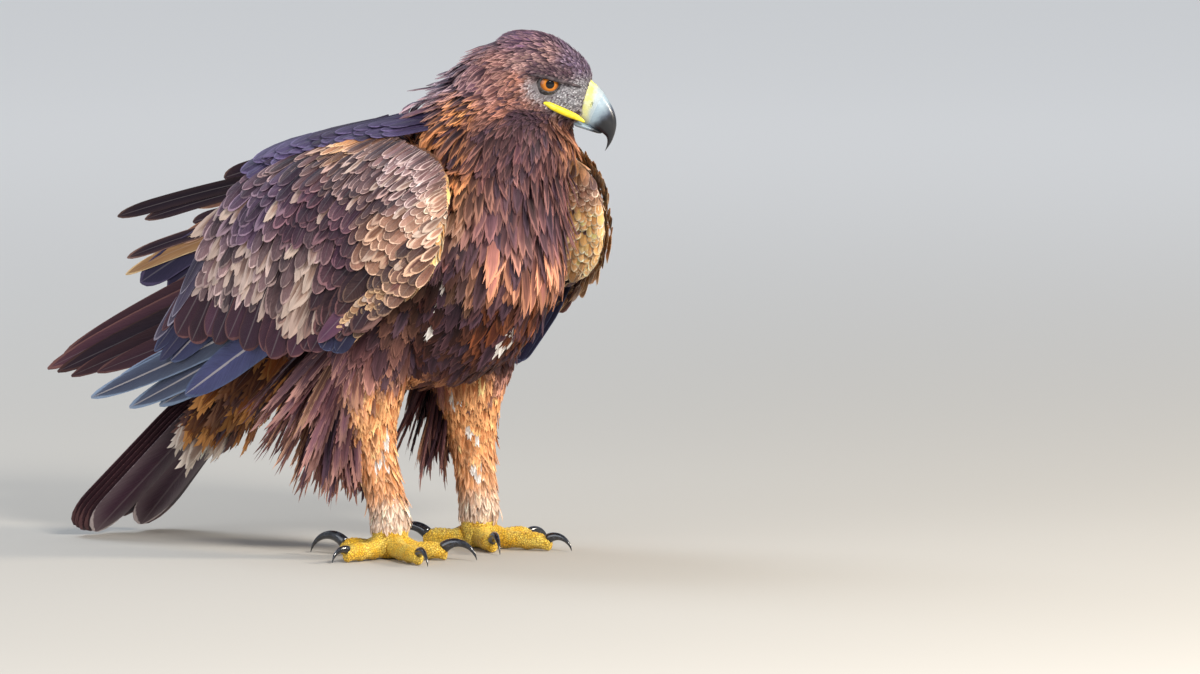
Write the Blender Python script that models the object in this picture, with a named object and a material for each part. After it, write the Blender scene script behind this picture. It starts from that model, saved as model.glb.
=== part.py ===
"""A life-size golden eagle standing on a level floor, as a still museum model.

The bird faces +X with its left side at +Y. Its head is turned to its left, its folded wings hang a little
away from the body, and the wind lifts the rear feathers of its left wing. Lengths are in metres.
Each flesh part is a loft through a few dorsal and ventral points, and each feather is a thin closed vane.
"""

import math
import random

import bmesh
import bpy
from mathutils import Matrix, Vector

SIDES = ("right", "left")
LEFT = Vector((0, 1, 0))
GAP = 0.0003
FLAT_ANGLE = math.radians(0.05)

# Head, in its own frame: x forward, y left, z up, from the point midway between the eyes
EYE_POINT = Vector((0.105, 0.022, 0.423))
HEAD_TURN = math.radians(27)
EYE_PLACE = Vector((0.0030, 0.0192, 0.0024))
EYE_RADIUS = 0.0120
LID_RADIUS = 0.0098
LID_THICKNESS = 0.0016
LID_TURN = math.radians(19)
HEAD_SQUARENESS = 2.35

# Legs and feet
LEG_SPREAD = 0.065
ANKLE_X = {"right": -0.005, "left": 0.000}
HEEL_X = {"right": -0.031, "left": -0.011}
HEEL_Z = 0.125
ANKLE_Z = 0.030
TOE_HEIGHT = 0.0165
CLAW_TIP_Z = 0.0008

# Wings: how far the outer face stands from the middle of the bird
WING_OUT = 0.138
WING_REAR_OUT = 0.050
WING_REAR_REACH = 0.24
WING_TOP_START = 0.270
WING_TOP_REACH = 0.115
WING_FRONT_START = 0.030
WING_FRONT_REACH = 0.060

WING_SHIFT = {"right": Vector((0.0, 0.0, 0.0)), "left": Vector((0.014, 0.012, 0.0))}

# Feathers
VANE_THICKNESS = 0.0008
LOCK_THICKNESS = 0.0010
# A feather's root lies this deep under the surface that it grows from
ROOT_DEPTH = -0.0030
# Where a feather's cross sections stand along it, by the number of steps
STATIONS = {
    2: (0.0, 0.62, 1.0),
    3: (0.0, 0.4, 0.78, 1.0),
    4: (0.0, 0.3, 0.6, 0.86, 1.0),
    5: (0.0, 0.25, 0.5, 0.75, 0.92, 1.0),
}
LOCK_WIDTHS = (0.8, 1.0, 0.12)
TAIL_FEATHERS = 12
TAIL_ROOT = Vector((-0.160, 0.0, 0.206))
TAIL_TIP = Vector((-0.349, 0.0, 0.0080))
TAIL_ROLL = math.radians(8)
TAIL_TURN = math.radians(8)
TAIL_VANE = 0.0215
TAIL_SPREAD = 0.0064
TAIL_FAN = math.radians(0.95)
TAIL_FEATHER_START = 0.16
TAIL_PAIR_LIFT = 0.0006
TAIL_FEATHER_LIFT = -0.0030
# The coverts at the tail's root: place along the tail, height above and below its line, half width
TAIL_CORE = (
    (0.01, 0.022, 0.024, 0.036),
    (0.12, 0.020, 0.026, 0.043),
    (0.24, 0.012, 0.022, 0.048),
    (0.36, 0.006, 0.015, 0.048),
    (0.46, 0.002, 0.0085, 0.036),
)
VANE_ROLL = math.radians(7)

MATERIALS = {
    "plumage_dark": ((0.085, 0.045, 0.028), 0.75),
    "plumage_brown": ((0.16, 0.075, 0.035), 0.75),
    "plumage_gold": ((0.42, 0.19, 0.06), 0.7),
    "wing_covert": ((0.21, 0.125, 0.075), 0.7),
    "flight_feather": ((0.060, 0.042, 0.038), 0.5),
    "leg_feather": ((0.42, 0.21, 0.085), 0.8),
    "foot_skin": ((0.85, 0.56, 0.02), 0.5),
    "claw_horn": ((0.012, 0.012, 0.015), 0.2),
    "bill_horn": ((0.22, 0.27, 0.32), 0.25),
    "cere_skin": ((0.80, 0.68, 0.10), 0.45),
    "eye_amber": ((0.50, 0.19, 0.02), 0.08),
}


def clear_scene():
    for old in list(bpy.data.objects):
        bpy.data.objects.remove(old)
    for old in list(bpy.data.collections):
        bpy.data.collections.remove(old)


def material(name):
    found = bpy.data.materials.get(name)
    if found:
        return found
    colour, roughness = MATERIALS[name]
    made = bpy.data.materials.new(name)
    made.use_nodes = True
    shader = made.node_tree.nodes["Principled BSDF"]
    shader.inputs["Base Color"].default_value = (*colour, 1.0)
    shader.inputs["Roughness"].default_value = roughness
    return made


def mesh_object(name, points, faces):
    mesh = bpy.data.meshes.new(name)
    mesh.from_pydata([tuple(p) for p in points], [], faces)
    made = bpy.data.objects.new(name, mesh)
    bpy.context.scene.collection.objects.link(made)
    return made


def smooth_run(stations, count):
    """count stations read from a Catmull-Rom curve through the given ones, each a flat tuple of numbers."""
    read = []
    last = len(stations) - 1
    for i in range(count):
        place = last * i / (count - 1)
        k = min(int(place), last - 1)
        t = place - k
        around = [stations[max(0, min(last, k + j))] for j in (-1, 0, 1, 2)]
        station = []
        for a, b, c, d in zip(*around):
            square, cube = 2 * a - 5 * b + 4 * c - d, 3 * b - a - 3 * c + d
            station.append(0.5 * (2 * b + (c - a) * t + square * t * t + cube * t**3))
        read.append(tuple(station))
    return read


def between(values, s):
    """A value read from three: at the front (s 0), the middle and the rear (s 1)."""
    return smooth_run([v if isinstance(v, tuple) else (v,) for v in values], 101)[round(100 * s)]


def loft(name, rings):
    """A closed body through rings of equal count. A ring of one point is a tip."""
    points, faces = [], []
    starts = []
    for ring in rings:
        starts.append(len(points))
        points.extend(ring)
    for (a, first), (b, second) in zip(zip(starts, rings), zip(starts[1:], rings[1:])):
        n = max(len(first), len(second))
        for i in range(n):
            j = (i + 1) % n
            if len(first) == 1:
                faces.append((a, b + j, b + i))
            elif len(second) == 1:
                faces.append((a + i, a + j, b))
            else:
                faces.append((a + i, a + j, b + j, b + i))
    for start, ring, turn in ((starts[0], rings[0], -1), (starts[-1], rings[-1], 1)):
        if len(ring) > 1:
            faces.append(tuple(range(start, start + len(ring)))[::turn])
    made = mesh_object(name, points, faces)
    point_out(made)
    return made


def point_out(made):
    """Splits the faces into triangles, which a cutter copied from them shares, and turns them outwards."""
    shape = bmesh.new()
    shape.from_mesh(made.data)
    bmesh.ops.triangulate(shape, faces=shape.faces)
    bmesh.ops.recalc_face_normals(shape, faces=shape.faces)
    shape.to_mesh(made.data)
    shape.free()


def ring(top, bottom, half_width, side, sides, squareness=2.0):
    """A closed outline from a top and a bottom point: an ellipse, or squarer with a larger squareness."""
    centre, up = (top + bottom) / 2, (top - bottom) / 2
    points = []
    for i in range(sides):
        angle = 2 * math.pi * (i + 0.5) / sides
        c, s = math.cos(angle), math.sin(angle)
        across = math.copysign(abs(c) ** (2 / squareness), c) * half_width
        along = math.copysign(abs(s) ** (2 / squareness), s)
        points.append(centre + side * across + up * along)
    return points


def profile_body(name, stations, count, sides, squareness=2.0, place=None, tip=None):
    """A loft through (top x, top z, bottom x, bottom z, half width, y) stations."""
    place = place or Matrix.Identity(4)
    rings = []
    for xt, zt, xb, zb, half, y in smooth_run(stations, count):
        outline = ring(Vector((xt, y, zt)), Vector((xb, y, zb)), half, LEFT, sides, squareness)
        rings.append([place @ p for p in outline])
    if tip:
        rings.append([place @ Vector(tip)])
    return loft(name, rings)


def tube(name, points, radii, count, sides, flat=1.0):
    """A tapered rod along a smooth line, pointed at its end. flat squeezes it along its own normal."""
    run = smooth_run([(*p, r) for p, r in zip(points, radii)], count)
    rings = []
    side = None
    for i, (x, y, z, r) in enumerate(run):
        ahead = Vector(run[min(i + 1, count - 1)][:3]) - Vector(run[max(i - 1, 0)][:3])
        ahead.normalize()
        if side is None:
            side = ahead.cross(Vector((0, 0, 1))) if abs(ahead.z) < 0.9 else ahead.cross(Vector((1, 0, 0)))
        side = (side - ahead * side.dot(ahead)).normalized()
        normal = side.cross(ahead)
        centre = Vector((x, y, z))
        if i == count - 1:
            rings.append([centre])
        else:
            rings.append(ring(centre + normal * r * flat, centre - normal * r * flat, r, side, sides))
    return loft(name, rings)


def ball(name, centre, radii, segments, rings, turn=0.0):
    """A closed ellipsoid with its own radii along x, y and z."""
    bpy.ops.mesh.primitive_uv_sphere_add(segments=segments, ring_count=rings, radius=1)
    made = bpy.context.active_object
    made.name = name
    made.data.transform(
        Matrix.Translation(centre) @ Matrix.Rotation(turn, 4, "Z") @ Matrix.Diagonal((*radii, 1))
    )
    point_out(made)
    return made


def blade(name, spine, sides, half_widths, thickness):
    """A thin closed vane of four corners a station, both faces split into triangles alike."""
    points, faces = [], []
    for i, (p, side, half) in enumerate(zip(spine, sides, half_widths)):
        ahead = (spine[min(i + 1, len(spine) - 1)] - spine[max(i - 1, 0)]).normalized()
        up = side.cross(ahead).normalized() * thickness / 2
        out = side * half
        points.extend((p - out + up, p + out + up, p + out - up, p - out - up))
    for i in range(len(spine) - 1):
        a, b = 4 * i, 4 * (i + 1)
        faces.extend(((a, b, b + 1), (a, b + 1, a + 1)))
        faces.extend(((a + 3, b + 2, b + 3), (a + 3, a + 2, b + 2)))
        faces.extend(((a + 1, b + 1, b + 2), (a + 1, b + 2, a + 2)))
        faces.extend(((a + 3, b + 3, b), (a + 3, b, a)))
    end = 4 * (len(spine) - 1)
    faces.extend(((0, 1, 2), (0, 2, 3), (end, end + 2, end + 1), (end, end + 3, end + 2)))
    made = mesh_object(name, points, faces)
    point_out(made)
    return made


def feather_width(t):
    """The half width of a flight feather or covert along its length, as a share of its widest."""
    grow = 0.55 + 0.45 * min(1.0, t / 0.45)
    if t <= 0.78:
        return grow
    return grow * math.sqrt(max(0.0, 1 - ((t - 0.78) / 0.235) ** 2))


def fuse(name, pieces, colour, cutters=()):
    """Joins the pieces into one closed body, takes the cutters from it and keeps the largest part."""
    joined = pieces[0]
    if len(pieces) > 1:
        group = bpy.data.collections.new(name + "_pieces")
        bpy.context.scene.collection.children.link(group)
        for piece in pieces[1:]:
            bpy.context.scene.collection.objects.unlink(piece)
            group.objects.link(piece)
        union = joined.modifiers.new("join", "BOOLEAN")
        union.operation = "UNION"
        union.operand_type = "COLLECTION"
        union.collection = group
        union.solver = "EXACT"
        apply_modifiers(joined)
        for piece in list(group.objects):
            bpy.data.objects.remove(piece)
        bpy.data.collections.remove(group)
    for cutter in cutters:
        cut = joined.modifiers.new("cut", "BOOLEAN")
        cut.operation = "DIFFERENCE"
        cut.object = cutter
        cut.solver = "EXACT"
        apply_modifiers(joined)
    keep_largest(joined)
    merge_flat_faces(joined)
    joined.name = joined.data.name = name
    joined.data.materials.clear()
    joined.data.materials.append(material(colour))
    joined.data.shade_smooth()
    joined.data.set_sharp_from_angle(angle=math.radians(40))
    return joined


def apply_modifiers(made):
    bpy.context.view_layer.update()
    graph = bpy.context.evaluated_depsgraph_get()
    mesh = bpy.data.meshes.new_from_object(made.evaluated_get(graph))
    made.modifiers.clear()
    made.data = mesh


def keep_largest(made):
    """Leaves only the closed surface with the most volume."""
    shape = bmesh.new()
    shape.from_mesh(made.data)
    bmesh.ops.triangulate(shape, faces=shape.faces)
    seen, parts = set(), []
    for start in shape.faces:
        if start in seen:
            continue
        seen.add(start)
        part, stack = [], [start]
        while stack:
            face = stack.pop()
            part.append(face)
            for edge in face.edges:
                for other in edge.link_faces:
                    if other not in seen:
                        seen.add(other)
                        stack.append(other)
        corners = [[v.co for v in face.verts] for face in part]
        volume = sum(a.dot(b.cross(c)) for a, b, c in corners)
        parts.append((volume, part))
    parts.sort(key=lambda item: item[0], reverse=True)
    loose = [face for _, part in parts[1:] for face in part]
    bmesh.ops.delete(shape, geom=loose, context="FACES")
    shape.to_mesh(made.data)
    shape.free()


def merge_flat_faces(made):
    """Merges the slivers that a union leaves on a flat face, and splits the result into few triangles."""
    shape = bmesh.new()
    shape.from_mesh(made.data)
    bmesh.ops.dissolve_limit(shape, angle_limit=FLAT_ANGLE, verts=shape.verts, edges=shape.edges)
    bmesh.ops.triangulate(shape, faces=shape.faces)
    shape.to_mesh(made.data)
    shape.free()


def copy_grown(source, grow=GAP):
    """A cutter: the same closed body with every point moved out by grow."""
    made = source.copy()
    made.data = source.data.copy()
    bpy.context.scene.collection.objects.link(made)
    made.data.materials.clear()
    normals = [v.normal.copy() for v in made.data.vertices]
    for v, normal in zip(made.data.vertices, normals):
        v.co += normal * grow
    made.hide_render = True
    made.display_type = "WIRE"
    made.name = source.name + "_cutter"
    return made


def mirrored(p, side):
    return Vector((p[0], p[1] if side == "left" else -p[1], p[2]))


# Torso, neck and head


def build_torso():
    """The trunk, from the neck's base to the tail's root, with the mantle as its back."""
    stations = (
        (-0.022, 0.3760, 0.098, 0.3180, 0.066, 0.0),
        (-0.041, 0.3730, 0.110, 0.2880, 0.080, 0.0),
        (-0.060, 0.3665, 0.112, 0.2500, 0.089, 0.0),
        (-0.080, 0.3550, 0.100, 0.2100, 0.092, 0.0),
        (-0.102, 0.3380, 0.064, 0.1720, 0.090, 0.0),
        (-0.128, 0.3150, 0.008, 0.1500, 0.082, 0.0),
        (-0.152, 0.2850, -0.060, 0.1500, 0.066, 0.0),
        (-0.168, 0.2500, -0.118, 0.1620, 0.048, 0.0),
        (-0.178, 0.2200, -0.156, 0.1720, 0.036, 0.0),
    )
    return profile_body("torso_core", stations, 13, sides=16)


NECK_STATIONS = (
    (-0.0216, 0.3764, 0.1000, 0.3184, 0.0660, 0.000),
    (-0.0120, 0.3960, 0.1230, 0.3360, 0.0640, 0.005),
    (0.0040, 0.4180, 0.1320, 0.3590, 0.0590, 0.011),
    (0.0230, 0.4380, 0.1300, 0.3790, 0.0510, 0.015),
    (0.0450, 0.4500, 0.1200, 0.3960, 0.0410, 0.018),
)


def neck_point(along, angle):
    """A point on the neck, along from its base (0) to the head (1), round from its left (0) over the nape."""
    xt, zt, xb, zb, half, y = smooth_run(NECK_STATIONS, 101)[max(0, min(100, round(100 * along)))]
    top, bottom = Vector((xt, y, zt)), Vector((xb, y, zb))
    centre, up = (top + bottom) / 2, (top - bottom) / 2
    return centre + Vector((0, half, 0)) * math.cos(angle) + up * math.sin(angle)


# Hackle rows: place along the neck, count and length
HACKLES = ((0.86, 5, 0.034), (0.66, 7, 0.038), (0.46, 8, 0.042), (0.26, 8, 0.044))
HACKLE_HALF = 0.0072
HACKLE_LIFT = 0.0105
HACKLE_SEED = 7


def hackle(along, angle, length, turn):
    """A pointed nape feather that follows the neck down and stands a little proud at its tip."""
    root = neck_point(along, angle)
    down = (neck_point(along - 0.1, angle) - neck_point(along, angle)).normalized()
    around = (neck_point(along, angle + 0.05) - root).normalized()
    out = around.cross(down).normalized()
    if out.dot(root - neck_point(along, angle + math.pi)) < 0:
        out.negate()
    spine, sides = [], []
    for t in STATIONS[2]:
        heading = down * math.cos(turn * t) + around * math.sin(turn * t)
        lift = ROOT_DEPTH + (HACKLE_LIFT - ROOT_DEPTH) * t
        spine.append(root + heading * length * t + out * lift)
        sides.append(out.cross(heading).normalized())
    return blade("hackle", spine, sides, [HACKLE_HALF * w for w in LOCK_WIDTHS], LOCK_THICKNESS)


def build_hackles():
    """Rows of hackles over the nape and down both sides of the neck."""
    draw = random.Random(HACKLE_SEED)
    made = []
    for row, (along, count, length) in enumerate(HACKLES):
        for i in range(count):
            spread = (i + 0.5 * (row % 2) + 0.25) / count
            angle = math.radians(-20 + 220 * spread)
            size = length * draw.uniform(0.9, 1.12)
            turn = math.radians(draw.uniform(-9, 9))
            made.append(hackle(along, angle, size, turn))
    return made


def head_place():
    return Matrix.Translation(EYE_POINT) @ Matrix.Rotation(HEAD_TURN, 4, "Z")


def build_head_core():
    """Crown, cheeks and chin without the bill, in the head's own frame."""
    stations = (
        (0.0400, 0.0040, 0.0310, -0.0332, 0.0132, 0.0),
        (0.0385, 0.0165, 0.0225, -0.0345, 0.0190, 0.0),
        (0.0270, 0.0300, 0.0110, -0.0350, 0.0240, 0.0),
        (0.0100, 0.0410, -0.0030, -0.0355, 0.0280, 0.0),
        (-0.0090, 0.0485, -0.0190, -0.0355, 0.0330, 0.0),
        (-0.0310, 0.0480, -0.0350, -0.0345, 0.0370, 0.0),
        (-0.0510, 0.0380, -0.0500, -0.0315, 0.0365, 0.0),
        (-0.0690, 0.0240, -0.0640, -0.0250, 0.0295, 0.0),
        (-0.0820, 0.0080, -0.0780, -0.0140, 0.0160, 0.0),
    )
    return profile_body("head_core", stations, 13, 14, HEAD_SQUARENESS, head_place(), (-0.084, 0, -0.004))


def brow(side):
    """The ledge over the eye, from the bill's base to behind the eye."""
    line = (
        (0.0350, 0.0150, 0.0015),
        (0.0200, 0.0238, 0.0062),
        (0.0060, 0.0295, 0.0103),
        (-0.0080, 0.0315, 0.0130),
        (-0.0220, 0.0310, 0.0125),
    )
    points = [head_place() @ mirrored(p, side) for p in line]
    return tube("brow", points, (0.0018, 0.0038, 0.0048, 0.0044, 0.0015), 7, 6, 0.75)


def eye_turn(side):
    """The eye's own direction: out to the side and a little forward."""
    return Matrix.Rotation(LID_TURN if side == "right" else -LID_TURN, 4, "Z")


def lid(side):
    """The bare rim round the eye."""
    bpy.ops.mesh.primitive_torus_add(
        major_radius=LID_RADIUS, minor_radius=LID_THICKNESS, major_segments=12, minor_segments=4
    )
    made = bpy.context.active_object
    reach = math.sqrt(EYE_RADIUS**2 - LID_RADIUS**2) + 0.0008
    out = Matrix.Translation(mirrored((0.0, reach, 0.0), side))
    upright = Matrix.Rotation(math.radians(90), 4, "X")
    place = Matrix.Translation(mirrored(EYE_PLACE, side)) @ eye_turn(side) @ out @ upright
    made.data.transform(head_place() @ place)
    point_out(made)
    return made


def build_eye(side):
    """The eyeball."""
    return ball("eye_core_" + side, head_place() @ mirrored(EYE_PLACE, side), (EYE_RADIUS,) * 3, 12, 8)


def build_cere():
    """The soft skin at the bill's base."""
    stations = (
        (0.0403, 0.0036, 0.0313, -0.0335, 0.0130, 0.0),
        (0.0458, -0.0010, 0.0345, -0.0352, 0.0120, 0.0),
        (0.0510, -0.0070, 0.0370, -0.0366, 0.0107, 0.0),
    )
    return profile_body("cere_core", stations, 4, 12, HEAD_SQUARENESS, head_place())


def build_bill():
    """The upper bill, from the cere to its hooked tip."""
    stations = (
        (0.0512, -0.0074, 0.0373, -0.0369, 0.0106, 0.0),
        (0.0572, -0.0165, 0.0455, -0.0408, 0.0088, 0.0),
        (0.0610, -0.0255, 0.0500, -0.0436, 0.0070, 0.0),
        (0.0624, -0.0345, 0.0527, -0.0458, 0.0052, 0.0),
        (0.0607, -0.0435, 0.0540, -0.0492, 0.0033, 0.0),
        (0.0568, -0.0510, 0.0532, -0.0535, 0.0017, 0.0),
    )
    return profile_body("bill_core", stations, 10, 12, 2.2, head_place(), (0.0520, 0, -0.0565))


def build_lower_bill():
    """The lower bill, under the hook and back into the chin."""
    stations = (
        (0.0190, -0.0300, 0.0190, -0.0385, 0.0100, 0.0),
        (0.0310, -0.0340, 0.0300, -0.0412, 0.0085, 0.0),
        (0.0410, -0.0380, 0.0400, -0.0436, 0.0060, 0.0),
        (0.0470, -0.0412, 0.0465, -0.0448, 0.0030, 0.0),
    )
    return profile_body("lower_core", stations, 6, 10, 2.2, head_place(), (0.0492, 0, -0.0438))


def build_gape(side):
    """The fleshy yellow lip at the corner of the mouth."""
    line = (
        (-0.0005, 0.0244, -0.0140),
        (0.0090, 0.0226, -0.0185),
        (0.0190, 0.0186, -0.0235),
        (0.0285, 0.0142, -0.0280),
        (0.0355, 0.0118, -0.0325),
    )
    points = [head_place() @ mirrored(p, side) for p in line]
    return tube("gape_" + side, points, (0.0020, 0.0033, 0.0034, 0.0028, 0.0014), 7, 6)


# Legs


def outward(side):
    return 1 if side == "left" else -1


def leg_side(side):
    return LEG_SPREAD * outward(side)


def build_thigh(side):
    """The feathered thigh, from inside the body down to the heel."""
    heel = HEEL_X[side]
    y = leg_side(side)
    inward = -0.003 * outward(side)
    stations = (
        (-0.062, 0.250, 0.030, 0.250, 0.033, y + 2 * inward),
        (-0.075, 0.215, 0.032, 0.215, 0.040, y + inward),
        (heel - 0.046, 0.180, heel + 0.048, 0.180, 0.038, y),
        (heel - 0.036, 0.150, heel + 0.035, 0.150, 0.031, y),
        (heel - 0.026, HEEL_Z, heel + 0.026, HEEL_Z, 0.0245, y),
    )
    return profile_body("thigh_core_" + side, stations, 8, 12)


TROUSER_SEEDS = {"right": 20, "left": 23}
TROUSER_HALF = 0.0115
TROUSER_DROP = math.radians(8)
# Trouser rows: height, count, length and sweep in degrees below level
TROUSERS = {
    "right": ((0.132, 5, 0.074, 80), (0.152, 5, 0.100, 70), (0.174, 5, 0.116, 56), (0.196, 4, 0.122, 42)),
    "left": ((0.132, 5, 0.062, 80), (0.152, 5, 0.084, 74), (0.172, 5, 0.084, 64), (0.190, 4, 0.070, 52)),
}


def thigh_lock(side, height, angle, length, sweep):
    """A long trouser feather on the thigh, at an angle round from its back, swept back by the wind."""
    heel, y, out = HEEL_X[side], leg_side(side), outward(side)
    rise = min(1.0, max(0.0, (height - HEEL_Z) / 0.055))
    behind = 0.022 + 0.022 * rise
    beside = 0.0195 + 0.0135 * rise
    point = Vector((heel - math.cos(angle) * behind, y + out * math.sin(angle) * beside, height))
    across = Vector((out * math.sin(angle), math.cos(angle), 0))
    lean = 0.20 * math.sin(angle) * out
    spine, sides = [], []
    for t in STATIONS[2]:
        bend = sweep + TROUSER_DROP * t
        heading = Vector((-math.cos(bend), lean, -math.sin(bend))).normalized()
        spine.append(point + heading * length * t)
        sides.append((across - heading * across.dot(heading)).normalized())
    return blade("trouser", spine, sides, [TROUSER_HALF * w for w in LOCK_WIDTHS], LOCK_THICKNESS)


def build_trousers(side):
    """Rows of locks from the heel up, the higher ones longer and swept further back."""
    draw = random.Random(TROUSER_SEEDS[side])
    made = []
    for row, (height, count, length, sweep) in enumerate(TROUSERS[side]):
        for i in range(count):
            share = (i + 0.5 * (row % 2)) / (count - 0.5)
            angle = math.radians(-55 + 145 * share)
            tall = height + draw.uniform(-0.004, 0.004)
            size = length * draw.uniform(0.84, 1.1) * (1 - 0.25 * share)
            lean = math.radians(sweep + draw.uniform(-6, 6) + 14 * share)
            made.append(thigh_lock(side, tall, angle, size, lean))
    return made


def build_tarsus(side):
    """The feathered shank, from the heel down to the ankle."""
    heel, ankle, y = HEEL_X[side], ANKLE_X[side], leg_side(side)
    calf, shin = heel * 0.85, heel * 0.55 + ankle * 0.45
    stations = (
        (heel - 0.0255, HEEL_Z - GAP, heel + 0.0255, HEEL_Z - GAP, 0.0240, y),
        (calf - 0.0215, 0.1050, calf + 0.0225, 0.1050, 0.0208, y),
        (shin - 0.0180, 0.0750, shin + 0.0185, 0.0750, 0.0178, y),
        (ankle - 0.0175, 0.0440, ankle + 0.0175, 0.0440, 0.0172, y),
        (ankle - 0.0178, ANKLE_Z, ankle + 0.0178, ANKLE_Z, 0.0175, y),
    )
    return profile_body("tarsus_core_" + side, stations, 7, 12)


# Toe: heading in degrees from forward to the foot's outside, length, half width, claw curve radius, claw base
TOES = {
    "right": {
        "hind": (178, 0.046, 0.0088, 0.0215, 0.0062),
        "inner": (-14, 0.048, 0.0092, 0.0195, 0.0058),
        "middle": (34, 0.068, 0.0085, 0.0160, 0.0050),
        "outer": (98, 0.052, 0.0080, 0.0145, 0.0046),
    },
    "left": {
        "hind": (197, 0.046, 0.0088, 0.0215, 0.0062),
        "inner": (-42, 0.050, 0.0092, 0.0195, 0.0058),
        "middle": (6, 0.068, 0.0085, 0.0160, 0.0050),
        "outer": (72, 0.054, 0.0080, 0.0145, 0.0046),
    },
}
TOE_START = 0.006
SCUTE = 0.0007
CLAW_START_Z = 0.0105
CLAW_END_ANGLE = math.radians(-78)
CLAW_STEPS = 5


def toe_frame(side, toe):
    """The toe's start on the floor, its heading and its level side."""
    angle = math.radians(TOES[side][toe][0]) * outward(side)
    heading = Vector((math.cos(angle), math.sin(angle), 0))
    start = Vector((ANKLE_X[side], leg_side(side), 0)) + heading * TOE_START
    return start, heading, Vector((-heading.y, heading.x, 0))


def lay_flat(made):
    """Presses what lies under the floor's level flat on it."""
    for v in made.data.vertices:
        v.co.z = max(0.0, v.co.z)


def build_toe(side, toe):
    """A toe with pads below, and raised scutes above near the claw."""
    _, length, half, _, _ = TOES[side][toe]
    start, heading, across = toe_frame(side, toe)
    stations = (
        (0.00, 0.0250, 0.95),
        (0.20, 0.0210, 0.98),
        (0.42, TOE_HEIGHT, 0.92),
        (0.58, TOE_HEIGHT, 0.98),
        (0.68, TOE_HEIGHT - SCUTE, 0.93),
        (0.71, TOE_HEIGHT + SCUTE, 0.99),
        (0.81, TOE_HEIGHT - SCUTE, 0.93),
        (0.84, TOE_HEIGHT + SCUTE, 0.97),
        (0.94, TOE_HEIGHT - 2 * SCUTE, 0.84),
        (1.00, 0.0118, 0.52),
    )
    rings = []
    for t, top, wide in stations:
        centre = start + heading * length * t
        low = -0.0016 if t < 0.95 else 0.0005
        above, below = centre + Vector((0, 0, top)), centre + Vector((0, 0, low))
        rings.append(ring(above, below, half * wide, across, 8, 2.3))
    made = loft("toe_core", rings)
    lay_flat(made)
    return made


def build_claw(side, toe):
    """A hooked claw that leaves the toe's end upwards and comes down to just over the floor."""
    _, length, _, radius, base = TOES[side][toe]
    start, heading, across = toe_frame(side, toe)
    begin_angle = math.acos(math.cos(CLAW_END_ANGLE) + (CLAW_START_Z - CLAW_TIP_Z) / radius)
    rings = []
    for i in range(CLAW_STEPS + 1):
        t = i / CLAW_STEPS
        angle = begin_angle + (CLAW_END_ANGLE - begin_angle) * t
        ahead = radius * (math.sin(begin_angle) - math.sin(angle))
        rise = radius * (math.cos(angle) - math.cos(begin_angle))
        centre = start + heading * (length - 0.004 + ahead) + Vector((0, 0, CLAW_START_Z + rise))
        if i == CLAW_STEPS:
            rings.append([centre])
            continue
        normal = Vector((0, 0, math.cos(angle))) - heading * math.sin(angle)
        size = base * (1 - t) ** 0.8
        rings.append(ring(centre + normal * size, centre - normal * size, size * 0.78, across, 6))
    return loft("claw_core", rings)


def build_ankle(side):
    """The knuckle where the toes meet under the feathered leg."""
    x, y = ANKLE_X[side], leg_side(side)
    stations = (
        (-0.0168 + x, ANKLE_Z - GAP, 0.0168 + x, ANKLE_Z - GAP, 0.0165, y),
        (-0.0165 + x, 0.0230, 0.0165 + x, 0.0230, 0.0162, y),
        (-0.0150 + x, 0.0120, 0.0150 + x, 0.0120, 0.0150, y),
        (-0.0125 + x, 0.0035, 0.0125 + x, 0.0035, 0.0125, y),
        (-0.0105 + x, 0.0, 0.0105 + x, 0.0, 0.0105, y),
    )
    return profile_body("ankle_core", stations, 5, 12)


# Wings


def wing_out(x, z):
    """How far the wing's outer face stands from the middle of the bird at a place seen from the side."""
    behind = max(0.0, -0.02 - x)
    out = WING_REAR_OUT + (WING_OUT - WING_REAR_OUT) * math.exp(-((behind / WING_REAR_REACH) ** 2))
    top = min(1.04, max(0.0, (z - WING_TOP_START) / WING_TOP_REACH))
    front = max(0.0, (x - WING_FRONT_START) / WING_FRONT_REACH)
    return out * math.sqrt(1 - 0.86 * top * top) * (1 - 0.2 * front * front)


def wing_point(x, z, lift=0.0):
    """The place on the left wing's outer face, lifted along the face's normal, and that normal."""
    step = 0.002
    p = Vector((x, wing_out(x, z), z))
    along = Vector((step, wing_out(x + step, z) - p.y, 0))
    up = Vector((0, wing_out(x, z + step) - p.y, step))
    normal = up.cross(along).normalized()
    return p + normal * lift, normal


def wing_feather(root, angle, length, half, lifts, bend=0.0, roll=VANE_ROLL, steps=4):
    """A feather over the left wing's face, from root (x, z) at a heading, lifted more or less to its tip."""
    spine, sides, widths = [], [], []
    x, z = root
    before = 0.0
    for t in STATIONS[steps]:
        middle = angle + bend * (t + before) / 2
        x += math.cos(middle) * length * (t - before)
        z += math.sin(middle) * length * (t - before)
        before = t
        place, normal = wing_point(x, z, lifts[0] + (lifts[1] - lifts[0]) * t)
        spine.append(place)
        ahead = Vector((math.cos(angle + bend * t), 0, math.sin(angle + bend * t)))
        ahead = (ahead - normal * ahead.dot(normal)).normalized()
        sides.append(Matrix.Rotation(roll, 3, ahead) @ normal.cross(ahead))
        widths.append(half * feather_width(t))
    return blade("feather", spine, sides, widths, VANE_THICKNESS)


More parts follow.
